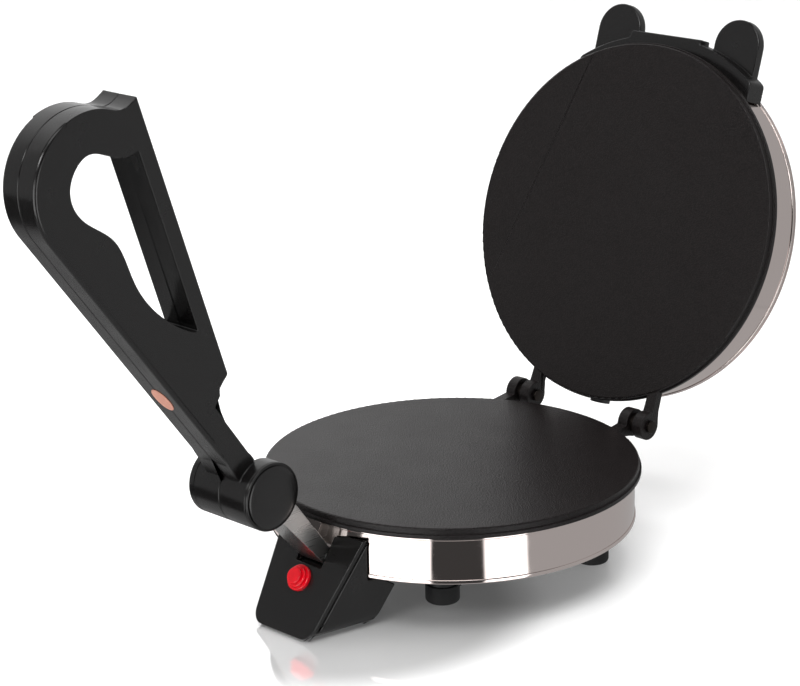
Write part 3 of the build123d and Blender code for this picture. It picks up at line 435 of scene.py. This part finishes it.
def lamp_glass(c):
    """Clear glass of the neon lamp."""
    # Lets the dark inside of the lens show through with an orange cast.
    made, tree, shader, coords = finish("lamp_glass", c.lamp, Roughness=0.02, IOR=1.5,
                                        Transmission_Weight=0.9)
    ripple = noise(tree, coords, 4.0)
    raise_surface(tree, shader, ripple, 0.02)
    return made


def badge_foil(c):
    """Thin coloured foil with a matt varnish."""
    # Flat salmon with a faint paper-like unevenness; it carries nothing.
    made, tree, shader, coords = finish("varnished_foil", c.badge, Roughness=0.4)
    cloud = noise(tree, coords, 2.0, 4.0)
    tint(tree, shader, cloud, c.badge, 0.85)
    return made


def make_finishes():
    """Every finish, by the record's slot that it belongs to."""
    c = bpy.context.scene.roti_colours
    return {
        "nonstick": nonstick_coating(c),
        "chrome": polished_chrome(c),
        "black_phenolic": moulded_phenolic(c),
        "black_satin_plastic": grained_plastic("satin_polyamide", c.satin, 0.42, 0.5, 0.01),
        "tray_black": grained_plastic("grained_polypropylene", c.tray, 0.55, 0.7, 0.03),
        "foot_rubber": grained_plastic("moulded_rubber", c.rubber, 0.72, 0.4, 0.03),
        "black_steel": plated_steel("blackened_steel", c.dark_steel, 0.32, 0.5),
        "bright_steel": plated_steel("zinc_plated_steel", c.zinc, 0.22, 0.38),
        "arm_steel": brushed_nickel(c),
        "element_sheath": element_sheath(c),
        "insulation_board": mineral_board(c),
        "ceramic": fired_ceramic(c),
        "lens_red": clear_red_lens(c),
        "lamp_glass": lamp_glass(c),
        "badge_salmon": badge_foil(c),
    }


FINISHES = {}


def finish_for(node):
    """The material of a node's slot; all are made at the first call."""
    if not FINISHES:
        FINISHES.update(make_finishes())
    return FINISHES[SLOT_OF[node]]


# ---- Making pieces -----------------------------------------------------------
def new_object(name, mesh):
    """An object for a mesh, linked to the scene."""
    made = bpy.data.objects.new(name, mesh)
    bpy.context.scene.collection.objects.link(made)
    return made


def evaluated_mesh(made):
    """The plain mesh that an object's modifiers give."""
    bpy.context.view_layer.update()
    depsgraph = bpy.context.evaluated_depsgraph_get()
    mesh = bpy.data.meshes.new_from_object(made.evaluated_get(depsgraph), depsgraph=depsgraph)
    made.modifiers.clear()
    return mesh


def stand_for(piece, node):
    """Gives a piece the finish, slot and body of a node, and hides the node behind it."""
    piece.data.materials.clear()
    piece.data.materials.append(finish_for(node))
    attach(piece, BODY_OF[node])
    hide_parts(node)
    return piece


def corner_use(face, sharp):
    """How much of each sharp edge of a face a rounding one unit wide takes up at its two ends."""
    used = dict.fromkeys((loop.edge for loop in face.loops), 0.0)
    for loop in face.loops:
        before, after = loop.link_loop_prev.edge, loop.edge
        if loop.is_convex and before in sharp and after in sharp:
            taken = tan((pi - loop.calc_angle()) / 2)
            used[before] += taken
            used[after] += taken
    return used


def weigh_edges(work, width):
    """Gives each sharp edge the share of the width that it and its neighbours leave room for."""
    weight = work.edges.layers.float.new("bevel_weight_edge")
    sharp = {edge for edge in work.edges if edge.is_manifold and edge.calc_face_angle() > radians(SHARP)}
    for edge in sharp:
        flat = [other.calc_length() for corner in edge.verts for other in corner.link_edges
                if other not in sharp]
        edge[weight] = min(1.0, FLAT_SHARE * min(flat, default=width / FLAT_SHARE) / width)
    for face in work.faces:
        for edge, used in corner_use(face, sharp).items():
            if edge in sharp and used > 0:
                edge[weight] = min(edge[weight], CORNER_SHARE * edge.calc_length() / (used * width))


def softened(node, width, steps=2):
    """Replaces a node by a merged copy whose sharp edges are rounded by up to that width."""
    work = bmesh.new()
    work.from_mesh(frame["nodes"][node].data)
    bmesh.ops.remove_doubles(work, verts=work.verts, dist=MERGE)
    bmesh.ops.dissolve_degenerate(work, dist=SLIVER, edges=work.edges)
    bmesh.ops.dissolve_limit(work, angle_limit=COPLANAR, verts=work.verts, edges=work.edges)
    weigh_edges(work, width)
    mesh = bpy.data.meshes.new(node)
    work.to_mesh(mesh)
    work.free()
    mesh.shade_smooth()
    piece = new_object("soft_" + node, mesh)
    bevel = piece.modifiers.new("Rounded edges", "BEVEL")
    bevel.width = width
    bevel.segments = steps
    bevel.limit_method = "WEIGHT"
    bevel.use_clamp_overlap = False
    bevel.miter_outer = "MITER_ARC"
    flats = piece.modifiers.new("Flat faces stay flat", "WEIGHTED_NORMAL")
    flats.mode = "FACE_AREA"
    flats.weight = FULL_WEIGHT
    piece.data = evaluated_mesh(piece)
    level_flats(piece.data)
    return stand_for(piece, node)


def level_flats(mesh):
    """Gives the corners of each large flat face that face's own direction, so it shades flat."""
    ways = [corner.vector.copy() for corner in mesh.corner_normals]
    for face in mesh.polygons:
        if len(face.vertices) > FLAT_CORNERS:
            for i in face.loop_indices:
                ways[i] = face.normal.copy()
    mesh.normals_split_custom_set(ways)


# ---- Geometry node trees -----------------------------------------------------
def geometry_tree(name, inputs):
    """An empty geometry tree with named inputs; returns it with its two group nodes."""
    tree = bpy.data.node_groups.new(name, "GeometryNodeTree")
    tree.interface.new_socket("Geometry", in_out="INPUT", socket_type="NodeSocketGeometry")
    for label, kind in inputs.items():
        tree.interface.new_socket(label, in_out="INPUT", socket_type=kind)
    tree.interface.new_socket("Geometry", in_out="OUTPUT", socket_type="NodeSocketGeometry")
    return tree, add(tree, "NodeGroupInput"), add(tree, "NodeGroupOutput")


def copied(tree, spots, rotation, shape):
    """The socket of real copies of a shape, one at each spot."""
    copies = add(tree, "GeometryNodeInstanceOnPoints", {"Points": spots, "Rotation": rotation,
                                                        "Instance": shape})
    return add(tree, "GeometryNodeRealizeInstances", {"Geometry": copies.outputs["Instances"]}).outputs[0]


def turned_tree(crossed):
    """Turns the host's outline into a solid at each place; crossed also cuts a cross recess."""
    names = {"Places": "NodeSocketObject", "Steps": "NodeSocketInt", "Finish": "NodeSocketMaterial"}
    if crossed:
        names.update({"Slot width": "NodeSocketFloat", "Slot reach": "NodeSocketFloat",
                      "Slot depth": "NodeSocketFloat", "Head height": "NodeSocketFloat"})
    tree, given, result = geometry_tree("turned_with_cross" if crossed else "turned", names)
    inputs = given.outputs
    core = 1.0 * MM
    path = add(tree, "GeometryNodeCurvePrimitiveCircle", {"Resolution": inputs["Steps"], "Radius": core})
    upright = add(tree, "GeometryNodeSetCurveNormal", {"Curve": path.outputs["Curve"]}, mode="Z_UP")
    outline = add(tree, "GeometryNodeMeshToCurve", {"Mesh": inputs["Geometry"]})
    pulled = add(tree, "GeometryNodeSetPosition", {"Geometry": outline.outputs["Curve"],
                                                   "Offset": (-core, 0, 0)})
    swept = add(tree, "GeometryNodeCurveToMesh", {"Curve": upright.outputs["Curve"],
                                                  "Profile Curve": pulled.outputs["Geometry"]})
    closed = add(tree, "GeometryNodeMergeByDistance", {"Geometry": swept.outputs["Mesh"], "Distance": MERGE})
    spots = add(tree, "GeometryNodeObjectInfo", {"Object": inputs["Places"]}).outputs["Geometry"]
    aim = add(tree, "GeometryNodeInputNamedAttribute", {"Name": "aim"}, data_type="FLOAT_VECTOR")
    facing = add(tree, "FunctionNodeAlignRotationToVector", {"Vector": aim.outputs["Attribute"]}, axis="Z")
    shape = copied(tree, spots, facing.outputs["Rotation"], closed.outputs["Geometry"])
    if crossed:
        shape = cut_cross(tree, inputs, shape, spots, facing.outputs["Rotation"])
    finished = add(tree, "GeometryNodeSetMaterial", {"Geometry": shape, "Material": inputs["Finish"]})
    tree.links.new(finished.outputs["Geometry"], result.inputs["Geometry"])
    return tree


def cut_cross(tree, inputs, heads, spots, rotation):
    """Cuts a cross recess into the top of each head and returns the result's socket."""
    depth = worked_out(tree, "MULTIPLY", inputs["Slot depth"], 2.0)
    width, reach = inputs["Slot width"], inputs["Slot reach"]
    lifted = add(tree, "ShaderNodeCombineXYZ", {"Z": inputs["Head height"]}).outputs[0]
    for x, y in ((width, reach), (reach, width)):
        size = add(tree, "ShaderNodeCombineXYZ", {"X": x, "Y": y, "Z": depth}).outputs[0]
        bar = add(tree, "GeometryNodeMeshCube", {"Size": size}).outputs["Mesh"]
        raised = add(tree, "GeometryNodeSetPosition", {"Geometry": bar, "Offset": lifted}).outputs[0]
        cut = add(tree, "GeometryNodeMeshBoolean", {"Mesh 1": heads}, operation="DIFFERENCE", solver="EXACT")
        tree.links.new(copied(tree, spots, rotation, raised), cut.inputs["Mesh 2"])
        heads = cut.outputs["Mesh"]
    return heads


TREES = {}


def run_tree(host, crossed, values):
    """Runs a turning tree on a host with its inputs given by name, and returns the plain mesh."""
    if crossed not in TREES:
        TREES[crossed] = turned_tree(crossed)
    tree = TREES[crossed]
    modifier = host.modifiers.new("Turned", "NODES")
    modifier.node_group = tree
    for item in tree.interface.items_tree:
        if item.in_out == "INPUT" and item.name in values:
            modifier[item.identifier] = values[item.name]
    return evaluated_mesh(host)


def arc(r, z, radius, start, end, steps=5):
    """Points of an arc about (r, z) from a start to an end angle in degrees."""
    angles = [radians(start + (end - start) * i / steps) for i in range(steps + 1)]
    return [(r + radius * cos(a), z + radius * sin(a)) for a in angles]


def outline_object(points, closed):
    """An object that holds an outline of (radius, height) points for the turning tree."""
    mesh = bpy.data.meshes.new("outline")
    count = len(points)
    edges = [(i, (i + 1) % count) for i in range(count if closed else count - 1)]
    mesh.from_pydata([(r, -z, 0) for r, z in points], edges, [])
    return new_object("outline", mesh)


def places_object(places):
    """An object that holds a corner at each place, with the direction it faces."""
    mesh = bpy.data.meshes.new("places")
    mesh.from_pydata([spot[:] for spot, aim in places], [], [])
    aims = mesh.attributes.new("aim", "FLOAT_VECTOR", "POINT")
    for i, (spot, aim) in enumerate(places):
        aims.data[i].vector = aim
    return new_object("places", mesh)


def turned(node, points, places, closed=False, steps=64, cross=None, sharp=SHARP):
    """Turns an outline at each place into one piece that stands for a node."""
    host = outline_object(points, closed)
    spots = places_object(places)
    values = {"Places": spots, "Steps": steps, "Finish": finish_for(node)}
    values.update(cross or {})
    mesh = run_tree(host, bool(cross), values)
    for used in (host, spots):
        bpy.data.objects.remove(used)
    work = bmesh.new()
    work.from_mesh(mesh)
    bmesh.ops.remove_doubles(work, verts=work.verts, dist=MERGE)
    bmesh.ops.recalc_face_normals(work, faces=work.faces)
    work.to_mesh(mesh)
    work.free()
    mesh.shade_smooth()
    mesh.set_sharp_from_angle(angle=radians(sharp))
    return stand_for(new_object("turned_" + node, mesh), node)


# ---- Pieces ------------------------------------------------------------------
# Proportions: each is a share of its piece's own radius, height or rounding, unless it says otherwise.
BEAD_TURN, BEAD_REACH = 0.42, 0.98                          # rounding of a band's bead
DISH_FLOOR, DISH_EDGE, DISH_DEPTH = 0.45, 0.5, 0.6 * MM     # hollow under a foot; its depth in metres
HOUSING_ROUND, BADGE_ROUND = 1.4, 1 / 3                     # of the rounding of their kind of piece
LENS_TOP, LENS_FLAT, LENS_EDGE, LENS_STEM = 0.63, 0.35, 0.3, 0.67   # rings and stem of the lens
PIN_DROP, PIN_FLAT, PIN_DISH = 1.4, 0.5, 0.3                # head of a hinge pin
CAP_EDGE, CAP_SWELL = 0.9, 0.8                              # rim and dome of a hub cap
SCREW_WALL, SCREW_TIP_R, SCREW_TIP_H = 0.45, 0.7, 0.4       # side of a screw's head, and its point
SLOT_REACH, SLOT_DEPTH = 1.15, 0.7                          # cross recess in a screw's head
FACET, LIP = 0.2 * MM, 0.1 * MM                             # small chamfers, in metres
CAP_STEPS, SCREW_STEPS, CORNER_STEPS = 12, 6, 8             # faces of a dome or a rounded corner
LEVEL_DIGITS = 5                                            # tells heights apart to 0.01 mm


class Rounding:
    """Rounds like pieces, each given with its kind of edge, the share of that rounding and its steps."""

    def execute(self, context):
        for node, kind, share, steps in self.pieces:
            softened(node, getattr(context.scene.roti_edges, kind) * share, steps)
        return {"FINISHED"}


class PlatesOperator(Rounding, bpy.types.Operator):
    """Make the two cast cooking plates with their hinge lugs"""

    bl_idname = "roti.plates"
    bl_label = "Cooking plates"
    pieces = (("lower_plate", "casting", 1, 2), ("upper_plate", "casting", 1, 2))


def bead(r, top, height, out, turn):
    """The rounded edge of a rolled bead, from its top down."""
    centre = r + out - turn
    return arc(centre, top - turn, turn, 90, 0) + arc(centre, top - height + turn, turn, 0, -90)


def band_wall(r, sizes, top, low):
    """A band's outer outline from its top bead to the bottom of its lower bead."""
    h, out = sizes.bead_h, sizes.bead_out
    turn = min(h * BEAD_TURN, out * BEAD_REACH)
    upper = bead(r, top, h, out, turn)
    lower = bead(r, low + h, h, out, turn)
    return upper + [(r, top - h - out / 2), (r, low + h + out / 2)] + lower


class BandsOperator(bpy.types.Operator):
    """Turn the polished band of the base and the pressed cover of the lid"""

    bl_idname = "roti.bands"
    bl_label = "Polished bands"

    def execute(self, context):
        sizes = context.scene.roti_bands
        low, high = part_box("base_shell")
        r = (high.x - low.x) / 2 - sizes.bead_out
        spot = Vector(((low.x + high.x) / 2, (low.y + high.y) / 2, low.z))
        top = high.z - low.z
        inner = r - sizes.sheet
        lip = r - sizes.lip - sizes.sheet
        foot = [(lip, 0), (lip, sizes.sheet), (inner, sizes.sheet), (inner, top)]
        turned("base_shell", band_wall(r, sizes, top, 0) + foot, [(spot, Z_AXIS)], closed=True, steps=256)
        pose = lid_pose()
        place = (pose @ spot, pose.to_3x3() @ Z_AXIS)
        turned("lid_cover", self.cover(r, sizes, top), [place], steps=256)
        return {"FINISHED"}

    def cover(self, r, sizes, top):
        """The lid cover's outline, from the rim's inside round to the middle of its top."""
        corner, step = sizes.corner, sizes.step_h
        wide, turn = r + sizes.bead_out - corner, sizes.sheet
        outside = [(r - turn, top)] + band_wall(r, sizes, top, corner)
        outside += arc(wide, corner, corner, 0, -90, CORNER_STEPS)
        outside += [(sizes.step_r + 2 * step, 0), (sizes.step_r, step), (0, step)]
        inside = [(0, step + turn), (sizes.step_r, step + turn), (sizes.step_r + 2 * step, turn)]
        inside += arc(wide, corner, corner - turn, -90, 0, CORNER_STEPS) + [(r - turn, corner + turn)]
        return [*outside, *inside, outside[0]]


class FeetOperator(bpy.types.Operator):
    """Turn the four rubber feet and round the posts, the tray and the glands"""

    bl_idname = "roti.underside"
    bl_label = "Feet, posts, tray and glands"

    def execute(self, context):
        sizes = context.scene.roti_trim
        spans = [turned_span(points, Z_AXIS) for points in solids("rubber_feet")]
        r, height = spans[0][2], (spans[0][1] - spans[0][0]).length
        wall = r - turned_span(solids("leg_posts")[0], Z_AXIS)[2]
        edge, lip = sizes.foot_round, sizes.round
        points = [(0, DISH_DEPTH), (r * DISH_FLOOR, DISH_DEPTH), (r * DISH_EDGE, 0)]
        points += arc(r - edge, edge, edge, -90, 0, 6) + arc(r - lip, height - lip, lip, 0, 90)
        points += [(r - wall, height), (r - wall, height / 2), (0, height / 2)]
        turned("rubber_feet", points, [(span[0], Z_AXIS) for span in spans], steps=48)
        edges = context.scene.roti_edges
        for node in ("leg_posts", "base_tray", "cord_gland", "link_gland", "lid_gland"):
            softened(node, edges.small)
        return {"FINISHED"}


class HousingOperator(Rounding, bpy.types.Operator):
    """Round the front housing, its sloping panel and its floor"""

    bl_idname = "roti.housing"
    bl_label = "Front housing"
    pieces = (("front_housing", "moulding", HOUSING_ROUND, 3), ("housing_front_panel", "small", 1, 2),
              ("housing_floor", "small", 1, 2))


class IndicatorOperator(bpy.types.Operator):
    """Turn the indicator's stepped lens"""

    bl_idname = "roti.indicator"
    bl_label = "Indicator lens"

    def execute(self, context):
        sizes = context.scene.roti_trim
        axis = flat_normal("housing_front_panel")
        start, end, r = turned_span(solids("indicator_lens")[0], axis)
        nut = turned_span(solids("lens_nut")[0], axis)
        panel = max(float((points @ np.array(axis)).max()) for points in solids("housing_front_panel"))
        seat = panel - start.dot(axis)
        tall = (end - start).length
        rise = (tall - seat) / sizes.lens_rings
        inset = (r - r * LENS_TOP) / max(sizes.lens_rings - 1, 1)
        stem = nut[2] * LENS_STEM
        points = [(0, 0), (stem, 0), (stem, seat)]
        for i in range(sizes.lens_rings):
            edge, ring = rise * LENS_EDGE, r - i * inset
            base = seat + i * rise
            points += [(ring, base)] + arc(ring - edge, base + rise - edge, edge, 0, 90)
        points += [(r * LENS_FLAT, tall - LIP), (0, tall)]
        turned("indicator_lens", points, [(start, axis)], steps=64, sharp=50.0)
        return {"FINISHED"}


class HingesOperator(bpy.types.Operator):
    """Turn the hinge pins, with rounded heads, and the spacers and clips on them"""

    bl_idname = "roti.hinges"
    bl_label = "Hinge pins and spacers"

    def execute(self, context):
        edge = context.scene.roti_trim.round
        pins = solids("hinge_pins")
        spans = [turned_span(points, X_AXIS) for points in pins]
        points, (low, high, head_r) = pins[-1], spans[-1]
        levels = sorted(set(points[:, 0].round(LEVEL_DIGITS)))
        step, tall = levels[-2] - levels[0], (high - low).length
        shank_rows = points[points[:, 0] < levels[0] + edge / 2]
        shank = float(shank_rows[:, 1].max() - shank_rows[:, 1].min()) / 2
        outline = [(0, 0), (shank - edge, 0)] + arc(shank - edge, edge, edge, -90, 0)
        outline += [(shank, step), (head_r - edge / 2, step)]
        outline += arc(head_r - edge, tall - edge * PIN_DROP, edge, -60, 60)
        outline += [(head_r * PIN_FLAT, tall - edge * PIN_DISH), (0, tall)]
        turned("hinge_pins", outline, [(span[0], X_AXIS) for span in spans], steps=40)
        for node in ("hinge_spacers", "hinge_clips"):
            softened(node, context.scene.roti_edges.small)
        return {"FINISHED"}


class BracketOperator(Rounding, bpy.types.Operator):
    """Round the bracket on the lid's front and its two lifting ears"""

    bl_idname = "roti.bracket"
    bl_label = "Lid bracket"
    pieces = (("lid_front_bracket", "bracket", 1, 3),)


class ArmOperator(Rounding, bpy.types.Operator):
    """Round the folded steel arm"""

    bl_idname = "roti.arm"
    bl_label = "Arm"
    pieces = (("arm_link", "sheet", 1, 2),)


class HandleOperator(Rounding, bpy.types.Operator):
    """Round the two moulded halves of the handle, leaving a groove along their joint, and the badge"""

    bl_idname = "roti.handle"
    bl_label = "Handle"
    pieces = (("handle_half_left", "moulding", 1, 3), ("handle_half_right", "moulding", 1, 3),
              ("handle_badge", "small", BADGE_ROUND, 2))


class CapsOperator(bpy.types.Operator):
    """Turn the two domed caps of the hub, each with its ring groove"""

    bl_idname = "roti.caps"
    bl_label = "Hub caps"

    def execute(self, context):
        sizes = context.scene.roti_trim
        for node, side in (("hub_cap_left", -1), ("hub_cap_right", 1)):
            low, high, r = turned_span(solids(node)[0], X_AXIS)
            start = high if side < 0 else low
            turned(node, self.outline(sizes, r, (high - low).length), [(start, X_AXIS * side)], steps=128)
        return {"FINISHED"}

    def outline(self, sizes, r, tall):
        """A cap's outline: flat inside, rounded at its rim, grooved, and domed in the middle."""
        edge, top = sizes.groove_in * CAP_EDGE, tall - sizes.cap_dome
        out = r - sizes.groove_in
        inner, floor = out - sizes.groove_w, top - sizes.groove_t
        rim = [(0, 0), (r - FACET, 0), (r, FACET)] + arc(r - edge, top - edge, edge, 0, 90, CORNER_STEPS)
        ring = [(out, top - LIP), (out, floor), (inner, floor), (inner, top - LIP)]
        turns = [radians(90 / CAP_STEPS * i) for i in range(CAP_STEPS)]
        dome = [(inner * cos(a) ** CAP_SWELL, top + sizes.cap_dome * sin(a) ** CAP_SWELL) for a in turns]
        return rim + ring + dome[1:] + [(0, tall)]


class ScrewsOperator(bpy.types.Operator):
    """Turn every screw that shows, with a domed head and a cross recess"""

    bl_idname = "roti.screws"
    bl_label = "Screws"

    def execute(self, context):
        sizes = context.scene.roti_trim
        for node in ("tie_screws", "cover_screws", "bracket_screws", "handle_screws"):
            places = [self.place(points) for points in solids(node)]
            head_r, head_h, shank_r, reach = places[0][2:]
            turns = [radians(90 / SCREW_STEPS * i) for i in range(SCREW_STEPS)]
            dome = [(head_r * cos(a), head_h * (SCREW_WALL + (1 - SCREW_WALL) * sin(a))) for a in turns]
            points = [(0, -reach), (shank_r * SCREW_TIP_R, -reach)]
            points += [(shank_r, -reach + shank_r * SCREW_TIP_H), (shank_r, 0)]
            points += [(head_r, 0)] + dome + [(0, head_h)]
            cross = {"Slot width": sizes.recess_w, "Slot reach": head_r * SLOT_REACH,
                     "Slot depth": min(sizes.recess_depth, head_h * SLOT_DEPTH), "Head height": head_h}
            turned(node, points, [place[:2] for place in places], steps=28, cross=cross)
        return {"FINISHED"}

    def place(self, points):
        """A screw's seat and the way its head faces, with the radii and lengths of head and shank."""
        axis = long_axis(points)
        low, high, head_r = turned_span(points, axis)
        along = points @ np.array(axis)
        levels = sorted(set(along.round(LEVEL_DIGITS)))
        if levels[1] - levels[0] < levels[-1] - levels[-2]:
            axis, levels = -axis, sorted(-value for value in levels)
            low, high = high, low
        head_h, reach = levels[-1] - levels[-2], levels[-2] - levels[0]
        tip = points[np.abs(points @ np.array(axis) - levels[0]) < 50 * MERGE]
        shank_r = float(np.linalg.norm(tip - np.array(low), axis=1).max())
        return high - axis * head_h, axis, head_r, head_h, shank_r, reach


class InnerOperator(bpy.types.Operator):
    """Dress every part that no piece stands for, most of them inside the plates and the hub"""

    bl_idname = "roti.inner"
    bl_label = "Inner parts"

    def execute(self, context):
        for node, part in frame["nodes"].items():
            if not part.hide_render:
                for slot in part.material_slots:
                    slot.material = finish_for(node)
        return {"FINISHED"}


# ---- Studio ------------------------------------------------------------------
def view_axes(sizes):
    """The camera's right, up and backward directions."""
    a, e = sizes.azimuth, sizes.elevation
    back = Vector((sin(a) * cos(e), -cos(a) * cos(e), sin(e)))
    level = Vector((cos(a), sin(a), 0))
    turn = Matrix.Rotation(sizes.roll, 3, back)
    return turn @ level, turn @ back.cross(level), back


PLATE_DROP = 0.35 * MM              # from the lid hinge's axis down to the lower plate's top
SENSOR_W = 36.0                     # the camera's sensor, in the millimetres that its lens is given in
SIGHT = 100.0                       # how far the camera sees, in metres


def make_camera(sizes):
    """The camera, aimed past the middle of the lower plate's top."""
    right, up, back = view_axes(sizes)
    low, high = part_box("base_shell")
    aim = Vector(((low.x + high.x) / 2, (low.y + high.y) / 2, joint_point("lid_hinge").z - PLATE_DROP))
    aim += up * sizes.aim_up - right * sizes.aim_left
    data = bpy.data.cameras.new("camera")
    data.lens = sizes.lens_mm
    data.sensor_width = SENSOR_W
    data.clip_end = SIGHT
    camera = bpy.data.objects.new("camera", data)
    bpy.context.scene.collection.objects.link(camera)
    turn = Matrix((right, up, back)).transposed().to_4x4()
    camera.matrix_world = Matrix.Translation(aim + back * sizes.distance) @ turn
    bpy.context.scene.camera = camera


SOFTBOXES = (
    # Each zone of the surroundings: middle azimuth and elevation, width and height in degrees, and
    # brightness. Azimuth is counted from +X towards +Y. A later zone covers an earlier one.
    ("floor_below", 0, -66, 360, 60, 0.42),
    ("backdrop", 168, 30, 76, 80, 1.0),
    ("right_wall", 64, 9, 138, 92, 0.41),
    ("near_left", -132, 9, 40, 44, 0.35),
    ("right_softbox", -14, -12, 27, 42, 2.2),
    ("left_softbox", -83, -12, 44, 42, 2.6),
    ("top_softbox", -60, 68, 90, 24, 2.2),
    ("front_softbox", -86, 37, 40, 12, 8.0),
    ("left_strip", 190, 8, 26, 60, 0.55),
)


def zone_mask(tree, angle, centre, size, soft):
    """A socket that is 1 near an angle and falls softly to 0 at half the size away from it."""
    off = worked_out(tree, "SUBTRACT", angle, radians(centre))
    away = worked_out(tree, "ABSOLUTE", worked_out(tree, "WRAP", off, pi, -pi))
    edge = radians(size / 2)
    span = {"Value": away, "From Min": edge + soft, "From Max": edge - soft}
    return add(tree, "ShaderNodeMapRange", span, interpolation_type="SMOOTHSTEP").outputs["Result"]


def studio_world(sizes):
    """Dim surroundings with soft-edged bright zones, as a studio with a backdrop and softboxes has."""
    world = bpy.data.worlds.new("studio")
    world.use_nodes = True
    tree = world.node_tree
    toward = add(tree, "ShaderNodeTexCoord").outputs["Generated"]
    ways = add(tree, "ShaderNodeSeparateXYZ", {"Vector": toward})
    azimuth = worked_out(tree, "ARCTAN2", ways.outputs["Y"], ways.outputs["X"])
    elevation = worked_out(tree, "ARCSINE", ways.outputs["Z"])
    level = add(tree, "ShaderNodeValue").outputs[0]
    level.default_value = sizes.dim
    for name, around, height, wide, tall, bright in SOFTBOXES:
        masks = (zone_mask(tree, azimuth, around, wide, sizes.edge),
                 zone_mask(tree, elevation, height, tall, sizes.edge))
        zone = {"Factor": worked_out(tree, "MULTIPLY", *masks), "A": level, "B": bright}
        level = add(tree, "ShaderNodeMix", zone, label=name).outputs["Result"]
    tree.nodes["Background"].inputs["Color"].default_value = (1, 1, 1, 1)
    tree.links.new(level, tree.nodes["Background"].inputs["Strength"])
    return world


LIGHT_SIZE, LIGHT_HEIGHT = 2.2, 1.6 # the overhead light, in metres


def overhead_light(power):
    """A square area light that looks straight down and isn't mirrored by the object."""
    data = bpy.data.lights.new("overhead", "AREA")
    data.size = LIGHT_SIZE
    data.energy = power
    lamp = bpy.data.objects.new("overhead", data)
    bpy.context.scene.collection.objects.link(lamp)
    lamp.location = (0, 0, LIGHT_HEIGHT)
    lamp.visible_glossy = False


def floor_finish(base, sizes, middle_y):
    """Pale polished acrylic sheet: a milky body under a clear face."""
    # White and faintly glowing, with a mirror image of what stands on it that fades away from the middle.
    made, tree, shader, coords = finish("pale_acrylic_floor", base, Roughness=0.6,
                                        Emission_Color=(*base, 1), Emission_Strength=sizes.glow)
    face = add(tree, "ShaderNodeBsdfGlossy", {"Color": (*base, 1)})
    haze = noise(tree, coords, 60.0)
    vary(tree, face, "Roughness", haze, 0.03, 0.06)
    away = add(tree, "ShaderNodeVectorMath", {0: coords, 1: (0, middle_y, 0)}, operation="DISTANCE")
    share = add(tree, "ShaderNodeMapRange", {"Value": away.outputs["Value"], "From Min": sizes.image_near,
                                             "From Max": sizes.image_far, "To Min": sizes.mirror,
                                             "To Max": sizes.far_mirror}, interpolation_type="SMOOTHSTEP")
    both = add(tree, "ShaderNodeMixShader", {0: share.outputs["Result"], 1: shader.outputs[0],
                                             2: face.outputs[0]})
    tree.links.new(both.outputs[0], tree.nodes["Material Output"].inputs["Surface"])
    return made


FLOOR_SIDES = 64                    # corners of the round floor's outline


class StageOperator(bpy.types.Operator):
    """Make the floor, the surroundings, the softboxes and the camera"""

    bl_idname = "roti.stage"
    bl_label = "Studio"

    def execute(self, context):
        sizes = context.scene.roti_studio
        mesh = bpy.data.meshes.new("floor")
        rim = arc(0, 0, sizes.floor_r, 0, 360 - 360 / FLOOR_SIDES, FLOOR_SIDES - 1)
        mesh.from_pydata([(x, y, 0) for x, y in rim], [], [range(len(rim))])
        floor = new_object("floor", mesh)
        low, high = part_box("base_shell")
        base_y, front_y = (low.y + high.y) / 2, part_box("front_housing")[0].y
        # The mirror image is centred two thirds of the way from the base's middle to the housing's front.
        image_y = (base_y + 2 * front_y) / 3
        floor.data.materials.append(floor_finish(context.scene.roti_colours.floor, sizes, image_y))
        floor.visible_glossy = False
        context.scene.world = studio_world(sizes)
        overhead_light(sizes.overhead)
        make_camera(sizes)
        context.scene.view_settings.view_transform = "Standard"
        return {"FINISHED"}


OPERATORS = (PlatesOperator, BandsOperator, FeetOperator, HousingOperator, IndicatorOperator,
             HingesOperator, BracketOperator, ArmOperator, HandleOperator, CapsOperator,
             ScrewsOperator, InnerOperator, StageOperator)


class RotiPanel(bpy.types.Panel):
    """The sidebar panel that lists the sizes, the colours and the pieces"""

    bl_idname = "VIEW3D_PT_roti_maker"
    bl_label = "Roti maker"
    bl_space_type = "VIEW_3D"
    bl_region_type = "UI"
    bl_category = "Roti maker"

    def draw(self, context):
        for name in GROUPS:
            group = getattr(context.scene, name)
            box = self.layout.box()
            for field in group.__annotations__:
                box.prop(group, field)
        for operator in OPERATORS:
            self.layout.operator(operator.bl_idname)


def register():
    for kind in (*GROUPS.values(), *OPERATORS, RotiPanel):
        bpy.utils.register_class(kind)
    for name, kind in GROUPS.items():
        setattr(bpy.types.Scene, name, bpy.props.PointerProperty(type=kind))


def unregister():
    for name in GROUPS:
        delattr(bpy.types.Scene, name)
    for kind in reversed((*GROUPS.values(), *OPERATORS, RotiPanel)):
        bpy.utils.unregister_class(kind)


def call(operator):
    """Calls an operator by its name."""
    group, name = operator.bl_idname.split(".")
    getattr(getattr(bpy.ops, group), name)()


def main():
    """Makes every piece in order."""
    register()
    for operator in OPERATORS:
        call(operator)


if __name__ == "__main__":
    main()
